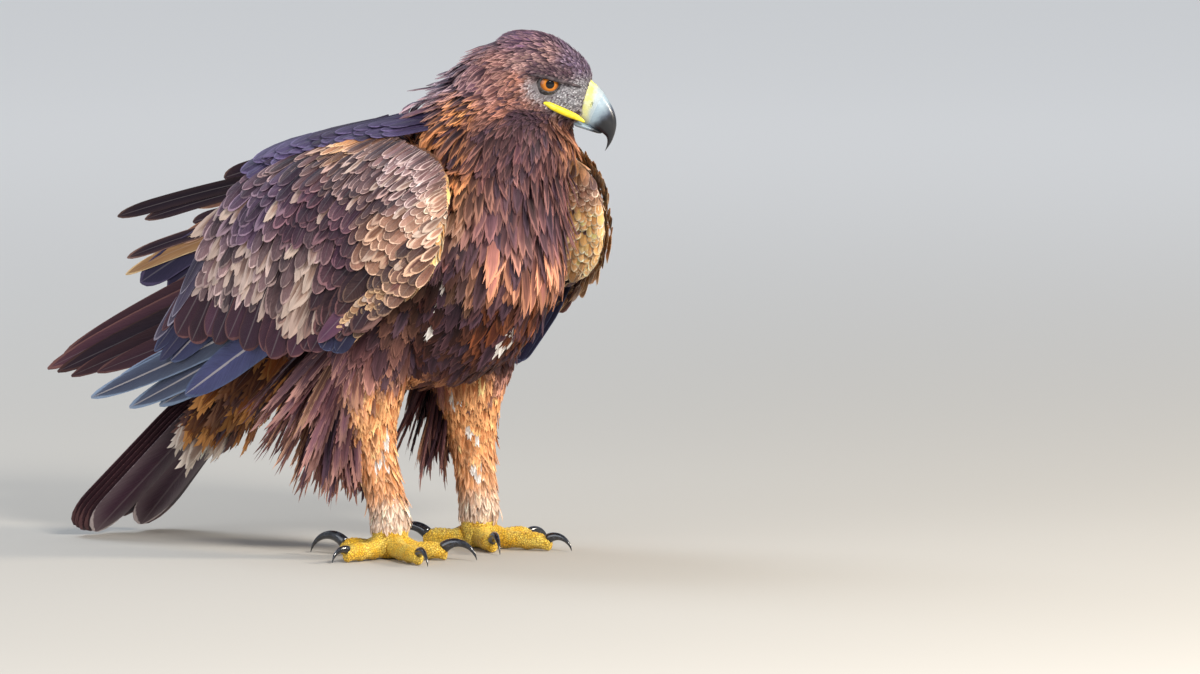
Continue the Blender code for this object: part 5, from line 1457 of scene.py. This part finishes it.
class Wing:
    """Gathers the feathers of one wing, made as a left one and mirrored for the right."""

    def __init__(self, side, ground, draw):
        self.side, self.ground, self.draw = side, ground, draw
        self.plumage = {kind: Plumage(kind) for kind in ("scale", "worn", "flight", "point", "slate")}

    def add(self, kind, spine, normals, half, colouring):
        shade, fringe, wear, dark, bleached = colouring
        draw = self.draw
        shade = np.array(shade) * math.exp(draw.normal(0, 0.24))
        fringe = np.array(fringe) * math.exp(draw.normal(0, 0.14))
        # Painted sunlight: on the left wing the front feathers are painted golden and pale, lighter than the same
        # feathers of the right wing, as if in sunlight.
        painted_sunlight = min(1.0, max(0.0, (spine[-1][0] - 0.02) / 0.04)) if self.side == "left" else 0.0
        shade = shade * (1 - painted_sunlight) + np.array((0.70, 0.33, 0.12)) * painted_sunlight
        fringe = fringe * (1 - painted_sunlight) + np.array((0.97, 0.72, 0.46)) * painted_sunlight
        cluster = 0.5 + 0.9 * noise.noise(Vector(spine[-1]) * 55)
        if draw.random() < dark * (0.2 + 1.6 * cluster):
            share = draw.uniform(0.5, 1.0)
            shade, fringe = shade * (1 - share) + DARK_SHADE * share, fringe * (1 - share * 0.65)
        elif draw.random() < bleached * (1.8 - 1.6 * cluster):
            share = draw.uniform(0.5, 1.0)
            shade = shade * (1 - share) + BLEACHED_SHADE * share
            fringe = fringe * (1 - share) + BLEACHED_FRINGE * share
            wear += 0.25 * share
            if kind == "scale":
                kind = "worn"
        elif kind == "scale" and draw.random() < 0.2:
            kind = "worn"
        if self.side == "right":
            spine = spine * (1, -1, 1)
            normals = normals * (1, -1, 1)
        spine = spine + np.array(WING_SHIFT[self.side])
        place, face = self.ground.nearest(spine[:1])
        nature = (draw.random(), min(1.0, max(0.0, wear + draw.normal(0, 0.10))), 0.0)
        self.plumage[kind].add(
            spine=spine[None],
            normal=normals[None],
            half=np.array([half]),
            shade=shade[None],
            fringe=np.clip(fringe[None], 0, 0.95),
            nature=np.array([nature]),
            spot=self.ground.spot_at(place, face),
        )

    def rows(self):
        """The coverts, row after row, each feather as long and wide and coloured as its place asks."""
        draw = self.draw
        flat = [(*roots[0], *roots[1], *roots[2], *headings, lift) for roots, headings, lift in TIERS]
        for row, at in enumerate(ROWS):
            read = read_run(flat, (at + 1) / (len(TIERS) - 1))
            line = smooth_run((read[0:2], read[2:4], read[4:6]), 101)
            turns = smooth_run([(v,) for v in read[6:9]], 101)
            length = sum(math.dist(a, b) for a, b in zip(line, line[1:]))
            s = 0.02 * (row % 2)
            while s <= 1:
                x, z = line[round(100 * s)]
                heading = math.radians(turns[round(100 * s)][0])
                size, half, _ = wing_look(x + math.cos(heading) * 0.020, z + math.sin(heading) * 0.020)
                reach = size * 0.8
                size, half, shares = wing_look(x + math.cos(heading) * reach, z + math.sin(heading) * reach)
                heading += math.radians(draw.normal(0, 5))
                size *= draw.uniform(0.82, 1.20)
                tip = read[9] * draw.uniform(0.7, 1.45)
                lifts = (max(-0.003, tip - 0.15 * size), tip)
                bend = math.radians(draw.uniform(-10, 4))
                roll = math.radians(6 + draw.normal(0, 5))
                spine, normals = wing_spine((x, z), heading, size, lifts, bend, roll, 6)
                self.add("scale", spine, normals, half * draw.uniform(0.88, 1.18), mixed_colouring(shares))
                s += 1.22 * half / length * draw.uniform(0.8, 1.2)

    def scapulars(self):
        for row in range(3):
            for i in range(11):
                s = (i + 0.5 * (row % 2)) / 10.5
                root = (0.034 - 0.128 * s, 0.3960 - 0.022 * s * s - 0.0035 * row)
                heading = math.radians(199 + 16 * s + self.draw.uniform(-3, 3))
                length = (0.038 + 0.012 * s) * self.draw.uniform(0.9, 1.1)
                tip = (7.5 - 1.2 * row) * MM
                spine, normals = wing_spine(root, heading, length, (tip - 0.2 * length, tip), math.radians(8), 0.08, 6)
                self.add("scale", spine, normals, (6.5 + 2.5 * s) * MM, WING_COLOURS["scapular"])

    def lower_edge(self):
        """Small tan feathers in rows under the wing's lower front edge."""
        for row in range(4):
            for i in range(17):
                s = (i + 0.5 * (row % 2)) / 16.5
                root = (0.080 - 0.066 * s - 0.0032 * row, 0.268 - 0.050 * s + 0.0040 * row - 0.006)
                heading = math.radians(217 + self.draw.uniform(-8, 8))
                lifts = (-0.003 + 0.0006 * row, 0.0006 + 0.0011 * row)
                spine, normals = wing_spine(root, heading, 0.018 + 0.005 * s, lifts, 0.0, 0.05, 6)
                self.add("scale", spine, normals, (3.4 + 1.2 * s) * MM, WING_COLOURS["edge"])

    def secondaries(self):
        roots, headings, _ = TIERS[-1]
        roots = ((0.030, 0.244), *roots[1:])
        count = 15
        for i in range(count):
            s = i / (count - 1)
            heading = math.radians(read_run(headings, s)[0] + self.draw.normal(0, 2.5))
            length = read_run(SECONDARY_LENGTHS[self.side], s)[0] * self.draw.uniform(0.93, 1.05)
            root = read_run(roots, s)
            lift = 0.001 + self.draw.uniform(-0.001, 0.001)
            spine, normals = wing_spine(root, heading, length, (-0.003, lift), math.radians(-6), math.radians(7), 20)
            # The three front secondaries take the blue-grey slate colouring, which is partly painted sky reflection.
            colouring = WING_COLOURS["slate" if i < 3 else "secondary"]
            half = (9.5 + 3.5 * s) * self.draw.uniform(0.85, 1.15) * MM
            self.add("flight", spine, normals, half, colouring)

    def long_feathers(self):
        for root, heading, length, half, bend, lift, name in TERTIALS:
            angle, turn = math.radians(heading), math.radians(bend)
            sunk = 0.009 if name == "alula" else 0.003
            spine, normals = wing_spine(root, angle, length, (lift - sunk, lift), turn, 0.06, 20)
            kind = "slate" if name == "great_sky_sheen" else "point"
            self.add(kind, spine, normals, half, WING_COLOURS[name])
        right = self.side == "right"
        for i, (root, tip, drawn) in enumerate(PRIMARIES[self.side]):
            angle = math.atan2(tip[1] - root[1], tip[0] - root[0])
            depth = HAND_LIFT - HAND_STEP * i
            spine, normals = wing_spine(root, angle, math.dist(root, tip), (depth, depth + drawn), 0.0, 0.02, 20)
            # The right wing's primaries take the blue primary colouring, which is partly painted sky reflection; the
            # left ones take the brown far_primary colouring.
            kind = "slate" if right else "point"
            self.add(kind, spine, normals, 12.5 * MM, WING_COLOURS["primary" if right else "far_primary"])

    def blown(self):
        for root, heading, length, half, bend, name in BLOWN:
            angle, turn = math.radians(heading), math.radians(bend)
            spine, normals = wing_spine(root, angle, length, (-0.006, -0.004), turn, 0.05, 20)
            self.add("point" if name == "blown_gold" else "flight", spine, normals, half, WING_COLOURS[name])


# Tail


def grow_tail(ground, draw):
    """Twelve rectrices: the outermost two lie lowest, side by side, and the others show past their edges."""
    along, across, top = tail_frame()
    length = (TAIL_TIP - TAIL_ROOT).length
    feathers = Plumage("flight")
    for hand, tips in ((-1, (-0.030, -0.037, -0.043, -0.048, -0.052, -0.014)), (1, (0.022, 0.027, 0.033, 0.038, 0.041, 0.002))):
        for inner, tip in enumerate(tips):
            start = TAIL_ROOT + along * length * 0.16 + across * tip * 0.40 + top * (0.0026 * inner - 0.006)
            end = TAIL_ROOT + along * length * (1.012 - 0.022 * hand - 0.004 * abs(inner - 2)) + across * tip
            end += top * (0.0016 * inner - 0.002)
            spine = np.array([start.lerp(end, k / 20) for k in range(21)])
            place, face = ground.nearest(spine[:1])
            colouring = WING_COLOURS["tail_edge" if inner == 0 else "tail"]
            feathers.add(
                spine=spine[None],
                normal=np.array([[-top] * 21]),
                half=np.array([0.0235 if inner == 0 else 0.0215]),
                shade=np.array([colouring[0]]) * draw.uniform(0.75, 1.25),
                fringe=np.array([colouring[1]]) * draw.uniform(0.8, 1.2),
                nature=np.array([(draw.random(), colouring[2], 0.0)]),
                spot=ground.spot_at(place, face),
            )
    return feathers


def add_plume(plumage, ground, draw, root, line, normals, half, colouring):
    """Adds one free feather, planted at a root and drawn along a line."""
    shade, fringe, nature = colour_feathers(
        {"shade": np.array([colouring[0]]), "fringe": np.array([colouring[1]]), "wear": np.array([colouring[2]]),
         "dark": np.array([colouring[3]])}, np.array([root]), draw)
    place, face = ground.nearest(np.array([root]))
    plumage.add(spine=np.array([line]), normal=np.array([normals]), half=np.array([half]), shade=shade,
                fringe=fringe, nature=nature, spot=ground.spot_at(place, face))


TROUSERS = {
    "right": ((0.126, 0.074, 80), (0.136, 0.090, 74), (0.146, 0.102, 67), (0.156, 0.110, 60), (0.166, 0.116, 54),
              (0.176, 0.120, 48), (0.186, 0.122, 43), (0.198, 0.120, 38)),
    "left": ((0.126, 0.062, 80), (0.138, 0.074, 76), (0.150, 0.082, 72), (0.162, 0.086, 66), (0.174, 0.084, 60),
             (0.188, 0.072, 52)),
}


def grow_trousers(plumage, ground, draw):
    """Long loose feathers from the thighs, swept back by the wind: height, length and sweep, row by row."""
    for side in SIDES:
        heel, y, out = HEEL_X[side], LEG_SPREAD * outward(side), outward(side)
        for row, (height, length, sweep) in enumerate(TROUSERS[side]):
            for i in range(22):
                share = (i + 0.5 * (row % 2)) / 21.5
                angle = math.radians(-60 + 150 * share + draw.uniform(-4, 4))
                tall = height + draw.uniform(-0.005, 0.005)
                rise = min(1.0, max(0.0, (tall - HEEL_Z) / 0.055))
                behind, beside = 0.021 + 0.022 * rise, 0.0185 + 0.0135 * rise
                root = Vector((heel - math.cos(angle) * behind, y + out * math.sin(angle) * beside, tall))
                across = Vector((out * math.sin(angle), math.cos(angle), 0))
                size = length * draw.uniform(0.55, 1.12) * (1 - 0.30 * share)
                lean = math.radians(sweep + draw.uniform(-9, 9) + 16 * share)
                drop = math.radians(draw.uniform(0, 18))
                point, line, normals = root.copy(), [], []
                for k in range(STEPS + 1):
                    bend = lean + drop * k / STEPS
                    heading = Vector((-math.cos(bend), 0.2 * math.sin(angle) * out, -math.sin(bend))).normalized()
                    line.append(point.copy())
                    normals.append(heading.cross(across).normalized() * -out)
                    point += heading * size / STEPS
                colouring = COLOURING[draw.choice(("trouser", "flank", "trouser_rust"), p=(0.6, 0.22, 0.18))]
                add_plume(plumage, ground, draw, root, line, normals, draw.uniform(0.0040, 0.0072), colouring)


VENT_ROWS = (
    (-0.10, "vent", 0.050),
    (-0.02, "under_tail", 0.052),
    (0.06, "vent", 0.054),
    (0.13, "under_tail", 0.056),
    (0.20, "under_tail", 0.056),
    (0.27, "vent", 0.054),
    (0.33, "under_tail", 0.056),
    (0.38, "tail_down", 0.060),
)


def grow_vent(plumage, ground, draw):
    """Loose feathers under the root of the tail, rust and dark, with pale ends."""
    along, across, top = tail_frame()
    length = (TAIL_TIP - TAIL_ROOT).length
    for row, (place, colouring, size) in enumerate(VENT_ROWS):
        deep = 0.030 - 0.052 * max(0.0, place)
        for i in range(9):
            share = (i + 0.5 * (row % 2) - 4) / 4.5 + draw.uniform(-0.08, 0.08)
            wide = (0.040 - 0.01 * abs(place)) * share
            root = TAIL_ROOT + along * length * place + across * wide - top * deep * math.sqrt(max(0.1, 1 - share**2))
            heading = (along + across * share * 0.25 - top * draw.uniform(0.10, 0.30)).normalized()
            reach = size * draw.uniform(0.8, 1.15)
            normal = (-top + across * share * 0.8).normalized()
            line = [root + heading * reach * k / STEPS + along * 0.004 * (k / STEPS) ** 2 for k in range(STEPS + 1)]
            half = draw.uniform(0.0085, 0.0120)
            add_plume(plumage, ground, draw, root, line, [normal] * (STEPS + 1), half, COLOURING[colouring])


# Bill, cere and eyes


def mark_growth(piece, along):
    """Writes how far along and how high each point of a head piece lies, for its finish to read."""
    values = np.array([along(v.co) for v in piece.data.vertices])
    add_attribute(piece.data, "growth", "FLOAT_VECTOR", values)


def bill_along(p):
    """0 at the cere and 1 at the hook's tip, and 0 at the ridge rising to 1 at the cutting edge."""
    start, tip = Vector((0.044, 0, -0.022)), Vector((0.0545, 0, -0.0565))
    line = tip - start
    share = (p - start).dot(line) / line.length_squared
    return (share, (p.x - 0.045) / 0.02, 0.0)


def build_bill():
    stations = (
        (0.0500, -0.0050, 0.0366, -0.0362, 0.0104, 0.0),
        (0.0512, -0.0074, 0.0373, -0.0369, 0.0107, 0.0),
        (0.0572, -0.0165, 0.0455, -0.0408, 0.0088, 0.0),
        (0.0610, -0.0255, 0.0500, -0.0436, 0.0070, 0.0),
        (0.0624, -0.0345, 0.0527, -0.0458, 0.0052, 0.0),
        (0.0607, -0.0435, 0.0540, -0.0492, 0.0033, 0.0),
        (0.0570, -0.0522, 0.0533, -0.0548, 0.0018, 0.0),
        (0.0520, -0.0588, 0.0515, -0.0592, 0.0003, 0.0),
    )
    piece = ring_body("bill_upper_horn", smooth_run(stations, 16), 18, 1)
    mark_growth(piece, bill_along)
    piece.data.transform(HEAD_PLACE)
    piece.data.shade_smooth()
    dress(piece, "bill_upper_horn", HORN, ["bill_upper"])


def build_lower_bill():
    stations = (
        (0.0240, -0.0300, 0.0240, -0.0368, 0.0086, 0.0),
        (0.0320, -0.0330, 0.0312, -0.0390, 0.0074, 0.0),
        (0.0410, -0.0368, 0.0400, -0.0418, 0.0054, 0.0),
        (0.0470, -0.0402, 0.0465, -0.0436, 0.0028, 0.0),
        (0.0492, -0.0426, 0.0491, -0.0430, 0.0004, 0.0),
    )
    piece = ring_body("bill_lower_horn", smooth_run(stations, 9), 14, 1)
    mark_growth(piece, lambda p: ((p.x - 0.034) / 0.024, 0.2, 0.0))
    piece.data.transform(HEAD_PLACE)
    piece.data.shade_smooth()
    dress(piece, "bill_lower_horn", HORN, ["bill_lower"])


def cere_along(p):
    """0 at the face and 1 at the horn, and 0 at the forehead rising to 1 at the mouth."""
    low = (0.006 - p.z) / 0.036
    return ((p.x - 0.0385 + 0.010 * low) / 0.012, low, 0.0)


def build_cere():
    stations = (
        (0.0370, 0.0080, 0.0290, -0.0325, 0.0126, 0.0),
        (0.0403, 0.0036, 0.0313, -0.0335, 0.0131, 0.0),
        (0.0458, -0.0010, 0.0345, -0.0352, 0.0122, 0.0),
        (0.0505, -0.0062, 0.0368, -0.0364, 0.0111, 0.0),
        (0.0512, -0.0074, 0.0373, -0.0368, 0.0100, 0.0),
    )
    piece = ring_body("cere_soft", smooth_run(stations, 11), 24, 1)
    for hand in (1, -1):
        bpy.ops.object.select_all(action="DESELECT")
        bpy.ops.mesh.primitive_uv_sphere_add(segments=16, ring_count=10, radius=1)
        nostril = bpy.context.active_object
        size = Matrix.Diagonal((0.0011, 0.0026, 0.0027, 1))
        turn = Matrix.Rotation(math.radians(25), 4, "Y")
        nostril.data.transform(Matrix.Translation((0.0415, 0.0122 * hand, -0.0165)) @ turn @ size)
        add_modifier(piece, "BOOLEAN", operation="DIFFERENCE", object=nostril, solver="EXACT")
        bpy.data.objects.remove(nostril)
    mark_growth(piece, cere_along)
    piece.data.transform(HEAD_PLACE)
    piece.data.shade_smooth()
    piece.data.set_sharp_from_angle(angle=math.radians(50))
    dress(piece, "cere_soft", CERE, ["cere"])


def build_gape(side):
    """The yellow lip at the mouth's corner, a soft roll that thins to both ends."""
    line = (
        (-0.0005, 0.0244, -0.0140, 0.0012),
        (0.0045, 0.0237, -0.0160, 0.0026),
        (0.0090, 0.0226, -0.0185, 0.0033),
        (0.0190, 0.0186, -0.0235, 0.0034),
        (0.0285, 0.0142, -0.0280, 0.0028),
        (0.0355, 0.0118, -0.0325, 0.0008),
    )
    stations = []
    for x, y, z, r in smooth_run(line, 12):
        stations.append((x + r * 0.45, z + r * 0.9, x - r * 0.45, z - r * 0.9, r, y * outward(side)))
    piece = ring_body("lip", stations, 10, 1, HEAD_PLACE)
    piece.data.shade_smooth()
    dress(piece, "mouth_lip_" + side, LIP, ["gape_" + side])


def eye_place(side):
    turn = Matrix.Rotation(LID_TURN * -outward(side), 4, "Z")
    at = Matrix.Translation((EYE_PLACE.x, EYE_PLACE.y * outward(side), EYE_PLACE.z))
    face_out = Matrix.Rotation(math.radians(90) * -outward(side), 4, "X")
    return HEAD_PLACE @ at @ turn @ face_out


def build_eye(side):
    """An eyeball that looks out along its own Z, with a cornea that stands a little proud."""
    bpy.ops.object.select_all(action="DESELECT")
    bpy.ops.mesh.primitive_uv_sphere_add(segments=40, ring_count=28, radius=EYE_RADIUS)
    piece = bpy.context.active_object
    start_shaping(piece)
    crown = [v.index for v in bmesh.from_edit_mesh(piece.data).verts if v.co.z > EYE_RADIUS * 0.72]
    pick(piece, crown)
    bpy.ops.transform.resize(value=(1, 1, 1.10), center_override=(0, 0, EYE_RADIUS * 0.72))
    stop_shaping()
    points, corners, *_ = mesh_arrays(piece.data)
    for old in list(piece.data.uv_layers):
        piece.data.uv_layers.remove(old)
    add_map(piece.data, "gaze", points[corners][:, :2] / EYE_RADIUS * 0.5 + 0.5)
    piece.data.shade_smooth()
    piece.data.transform(eye_place(side))
    dress(piece, "eyeball_" + side, IRIS, ["eye_" + side])


def build_lid(side):
    """The bare dark lids: a ring flattened from above and below, laid over the eyeball."""
    bpy.ops.object.select_all(action="DESELECT")
    bpy.ops.mesh.primitive_torus_add(
        major_radius=LID_RADIUS * 0.96, minor_radius=0.0020, major_segments=48, minor_segments=10
    )
    piece = bpy.context.active_object
    start_shaping(piece)
    bpy.ops.transform.resize(value=(1.12, 0.86, 0.45), center_override=(0, 0, 0))
    stop_shaping()
    for vertex in piece.data.vertices:
        away = vertex.co.x**2 + vertex.co.y**2
        vertex.co.z += math.sqrt(max(0.0, (EYE_RADIUS + 0.0001) ** 2 - away))
    piece.data.transform(eye_place(side))
    piece.data.shade_smooth()
    dress(piece, "eyelid_" + side, LID)


def build_brow(side):
    """The bare dark edge of the ridge over the eye, which gives the bird its frown: dark skin, darkened further as
    painted shadow under the ridge.
    """
    line = (
        (0.0335, 0.0178, -0.0010, 0.0010),
        (0.0230, 0.0252, 0.0030, 0.0020),
        (0.0080, 0.0314, 0.0076, 0.0025),
        (-0.0050, 0.0328, 0.0106, 0.0020),
        (-0.0150, 0.0318, 0.0106, 0.0006),
    )
    stations = []
    for x, y, z, r in smooth_run(line, 14):
        stations.append((x + r * 0.25, z + r * 0.70, x - r * 0.25, z - r * 0.70, r, y * outward(side)))
    piece = ring_body("brow", stations, 12, 1, HEAD_PLACE)
    piece.data.shade_smooth()
    dress(piece, "brow_edge_" + side, BROW)


def brow_ridge(side):
    """The ridge itself, under the skin's feathers."""
    line = (
        (0.0350, 0.0140, 0.0050, 0.0028),
        (0.0220, 0.0215, 0.0090, 0.0044),
        (0.0070, 0.0270, 0.0130, 0.0052),
        (-0.0080, 0.0285, 0.0150, 0.0046),
        (-0.0240, 0.0280, 0.0140, 0.0030),
    )
    stations = []
    for x, y, z, r in smooth_run(line, 10):
        stations.append((x, z + r * 0.80, x, z - r * 0.80, r, y * outward(side)))
    return ring_body("ridge", stations, 10, 1, HEAD_PLACE)


# Feet

TOES = {
    "right": {
        "hind": (178, 0.046, 0.0088, 0.0215, 0.0062),
        "inner": (-14, 0.048, 0.0092, 0.0195, 0.0058),
        "middle": (34, 0.068, 0.0085, 0.0160, 0.0050),
        "outer": (98, 0.052, 0.0080, 0.0145, 0.0046),
    },
    "left": {
        "hind": (197, 0.046, 0.0088, 0.0215, 0.0062),
        "inner": (-42, 0.050, 0.0092, 0.0195, 0.0058),
        "middle": (6, 0.068, 0.0085, 0.0160, 0.0050),
        "outer": (72, 0.054, 0.0080, 0.0145, 0.0046),
    },
}
TOE_START = 0.006
CLAW_START_Z = 0.0105
CLAW_TIP_Z = 0.0008
CLAW_END_ANGLE = math.radians(-78)


def toe_place(side, toe):
    """The toe's own frame: X along it, from the foot's middle on the floor."""
    angle = math.radians(TOES[side][toe][0]) * outward(side)
    ankle = Matrix.Translation((ANKLE_X[side], LEG_SPREAD * outward(side), 0))
    return ankle @ Matrix.Rotation(angle, 4, "Z") @ Matrix.Translation((TOE_START, 0, 0))


def model_toe():
    """One toe along X, a unit long, with its scutes above and its pads below."""
    stations = []
    for k in range(34):
        t = k / 33
        height = read_run(((0.0, 0.0250), (0.2, 0.0210), (0.42, 0.0166), (0.6, 0.0168), (0.8, 0.0164), (1.0, 0.0118)), t)[1]
        wide = read_run((0.95, 0.99, 0.93, 0.99, 0.93, 0.98, 0.86, 0.52), t)[0]
        scute = 0.0006 * (1 if k % 3 == 1 else -0.5) if 0.42 < t < 0.97 else 0.0
        pad = 0.0011 * max(0.0, math.cos(t * math.pi * 6.2)) if t > 0.2 else 0.0
        stations.append((t, height + scute, t, 0.0012 - pad if t < 0.97 else 0.0016, 0.0088 * wide + scute * 0.3, 0.0))
    return ring_body("toe_model", stations, 14, 0)


def build_toes(model):
    for side in SIDES:
        for toe, (_, length, half, _, _) in TOES[side].items():
            piece = copy_of(model)
            piece.data.transform(toe_place(side, toe) @ Matrix.Diagonal((length, half / 0.0088, 1, 1)))
            for v in piece.data.vertices:
                v.co.z = max(0.0, v.co.z)
            round_off(piece, 1)
            piece.data.shade_smooth()
            dress(piece, f"toe_{side}_{toe}_skin", FOOT, [f"toe_{side}_{toe}"])
    bpy.data.objects.remove(model)


def build_claw(side, toe):
    """A hooked claw, drawn out of its base ring by ring along its curve."""
    _, length, _, radius, base = TOES[side][toe]
    begin = math.acos(math.cos(CLAW_END_ANGLE) + (CLAW_START_Z - CLAW_TIP_Z) / radius)
    stations = []
    for k in range(15):
        t = k / 14
        angle = begin + (CLAW_END_ANGLE - begin) * t
        x = length - 0.004 + radius * (math.sin(begin) - math.sin(angle))
        z = CLAW_START_Z + radius * (math.cos(angle) - math.cos(begin))
        size = max(0.00025, base * (1 - t) ** 0.8)
        nx, nz = -math.sin(angle) * size, math.cos(angle) * size
        stations.append((x + nx, z + nz, x - nx, z - nz, size * 0.78, 0.0))
    piece = ring_body("claw", stations, 12, 1, toe_place(side, toe))
    piece.data.shade_smooth()
    dress(piece, f"claw_{side}_{toe}_horn", CLAW, [f"claw_{side}_{toe}"])


def build_foot(side):
    """The knuckle where the toes meet under the feathered shank."""
    x, y = ANKLE_X[side], LEG_SPREAD * outward(side)
    rings = ((0.034, 0.0160), (0.030, 0.0168), (0.023, 0.0167), (0.012, 0.0156), (0.0035, 0.0132), (0.0, 0.0105))
    stations = [(x - r, z, x + r, z, r, y) for z, r in rings]
    piece = ring_body("foot", stations, 20, 2)
    for v in piece.data.vertices:
        v.co.z = max(0.0, v.co.z)
    piece.data.shade_smooth()
    dress(piece, f"foot_{side}_skin", FOOT, ["foot_" + side])


# Putting the bird together

FLESH = ["head", "neck", "torso", "tail", "thigh_right", "thigh_left", "tarsus_right", "tarsus_left",
         "wing_right", "wing_left"]


def coat_regions(planted):
    """Splits the planted feathers into pieces by kind and place on the bird."""
    root = planted["spine"][:, 0]
    height, left = root[:, 2], root[:, 1] > 0
    regions = []
    for name in ("tuft", "lance", "body", "plume", "scale"):
        here = planted["kind"] == KINDS.index(name)
        if name == "tuft":
            regions.append((name, "head_short_feathers", here & (height > 0.25)))
            regions.append((name, "shank_short_feathers", here & (height <= 0.25)))
        elif name == "lance":
            for part, low, high in (("crown", 0.400, 1.0), ("neck", 0.345, 0.400), ("breast", 0.0, 0.345)):
                regions.append((name, part + "_hackles", here & (height >= low) & (height < high)))
        elif name == "body":
            front = root[:, 0] > 0.02
            regions.append((name, "breast_feathers", here & front))
            for side in SIDES:
                regions.append((name, "back_feathers_" + side, here & ~front & (left == (side == "left"))))
        elif name == "plume":
            for side in SIDES:
                regions.append((name, "loose_feathers_" + side, here & (left == (side == "left"))))
        else:
            regions.append((name, "wrist_feathers", here))
    return regions


def build_bird():
    draw = np.random.default_rng(11)
    coat = Coat()
    skin = build_skin()
    sink_skin(skin, coat)
    ground = Ground(skin)
    models = {kind: make() for kind, make in MODELS.items()}
    planted = grow_coat(coat, ground, draw)
    clear = clear_of_eyes_and_wings(planted)
    for kind, name, here in coat_regions(planted):
        here = here & clear
        plumage = Plumage(kind)
        plumage.add(**{key: planted[key][here] for key in plumage.rows})
        print("COAT", name, int(here.sum()), "feathers")
        dress(plumage.lay(models[kind]), name, FEATHERS[kind])
    for name, slot, grow in (("trousers", "leg_feather", grow_trousers), ("vent_feathers", "plumage_gold", grow_vent)):
        plumage = Plumage("plume")
        grow(plumage, ground, draw)
        dress(plumage.lay(models["plume"]), name, FEATHERS["plume"])
    for side in SIDES:
        wing = Wing(side, ground, draw)
        wing.rows()
        wing.scapulars()
        wing.lower_edge()
        wing.secondaries()
        wing.long_feathers()
        if side == "left":
            wing.blown()
        laid = {kind: plumage.lay(models[kind]) for kind, plumage in wing.plumage.items()}
        dress(laid["scale"], f"wing_{side}_coverts", FEATHERS["scale"])
        dress(laid["worn"], f"wing_{side}_worn_coverts", FEATHERS["worn"])
        dress(laid["slate"], f"wing_{side}_sky_sheen_feathers", FEATHERS["slate"])
        flight = join([laid["flight"], laid["point"]], "flight")
        dress(flight, f"wing_{side}_flight_feathers", FEATHERS["flight"], ["wing_" + side])
    tail = grow_tail(ground, draw)
    dress(tail.lay(models["flight"]), "tail_feathers", FEATHERS["flight"], ["tail"])
    for model in models.values():
        bpy.data.objects.remove(model)
    dress(skin, "skin", SKIN, FLESH)

    build_bill()
    build_lower_bill()
    build_cere()
    toe_model = model_toe()
    build_toes(toe_model)
    for side in SIDES:
        build_gape(side)
        build_eye(side)
        build_lid(side)
        build_brow(side)
        build_foot(side)
        for toe in TOES[side]:
            build_claw(side, toe)


# Floor, light and camera

VIEW_AZIMUTH = math.radians(35)
VIEW_ELEVATION = math.radians(5)
PIXELS_PER_METRE = 1120
FEET_PIXEL = (437, 553)
IMAGE = (1200, 674)
CAMERA_DISTANCE = 24.0
SENSOR = 36.0


def build_floor():
    bpy.ops.object.select_all(action="DESELECT")
    bpy.ops.mesh.primitive_plane_add(size=60)
    floor = bpy.context.active_object
    floor.name = "floor"
    finish = Finish("floor_pale", Roughness=0.9, Specular_IOR_Level=0.1, Emission_Strength=1.0)
    place = finish.object_place()
    x, y, _ = finish.parts(place)
    # Painted light: away from the middle the floor turns paler and glows, though it is no lamp, so the far floor reads
    # as a pale backdrop.
    away = (x * x + y * y).math("SQRT").step(0.8, 5.0)
    colour = finish.mix((0.50, 0.48, 0.44), (0.62, 0.61, 0.59), away)
    glow = finish.mix((0.0, 0.0, 0.0), (0.30, 0.31, 0.32), away)
    floor.data.materials.append(finish.wear(Base_Color=colour, Emission_Color=glow))


def area_light(name, place, size, power, colour, target=Vector((0, 0, 0.25))):
    data = bpy.data.lights.new(name, "AREA")
    data.shape = "DISK"
    data.size = size
    data.energy = power
    data.color = colour
    lamp = bpy.data.objects.new(name, data)
    bpy.context.scene.collection.objects.link(lamp)
    lamp.location = place
    lamp.rotation_euler = (target - Vector(place)).to_track_quat("-Z", "Y").to_euler()


def build_light():
    world = bpy.data.worlds.new("studio")
    world.use_nodes = True
    world.node_tree.nodes["Background"].inputs["Color"].default_value = (0.80, 0.85, 0.94, 1)
    world.node_tree.nodes["Background"].inputs["Strength"].default_value = 0.50
    bpy.context.scene.world = world
    area_light("key", (3.0, -1.6, 2.1), 0.9, 125, (1.0, 0.94, 0.86))
    area_light("sun", (3.0, 1.5, 1.7), 0.7, 85, (1.0, 0.88, 0.72))
    area_light("fill", (-0.6, -3.4, 1.4), 2.4, 34, (0.90, 0.93, 1.0))
    area_light("sky", (-2.0, 0.4, 2.6), 2.0, 45, (0.76, 0.86, 1.0))
    bpy.context.scene.view_settings.view_transform = "Standard"


def build_camera():
    """The photograph's view: its direction, and the feet where they stand in its frame."""
    back = Vector((
        math.sin(VIEW_AZIMUTH) * math.cos(VIEW_ELEVATION),
        -math.cos(VIEW_AZIMUTH) * math.cos(VIEW_ELEVATION),
        math.sin(VIEW_ELEVATION),
    ))
    right = Vector((math.cos(VIEW_AZIMUTH), math.sin(VIEW_AZIMUTH), 0))
    up = back.cross(right)
    across = (IMAGE[0] / 2 - FEET_PIXEL[0]) / PIXELS_PER_METRE
    above = (FEET_PIXEL[1] - IMAGE[1] / 2) / PIXELS_PER_METRE
    target = SHIFT + right * across + up * above
    data = bpy.data.cameras.new("camera")
    data.sensor_width = SENSOR
    data.lens = SENSOR * CAMERA_DISTANCE * PIXELS_PER_METRE / IMAGE[0]
    data.clip_end = 100
    camera = bpy.data.objects.new("camera", data)
    bpy.context.scene.collection.objects.link(camera)
    camera.location = target + back * CAMERA_DISTANCE
    camera.rotation_euler = (-back).to_track_quat("-Z", "Y").to_euler()
    bpy.context.scene.camera = camera


build_bird()
build_floor()
build_light()
build_camera()
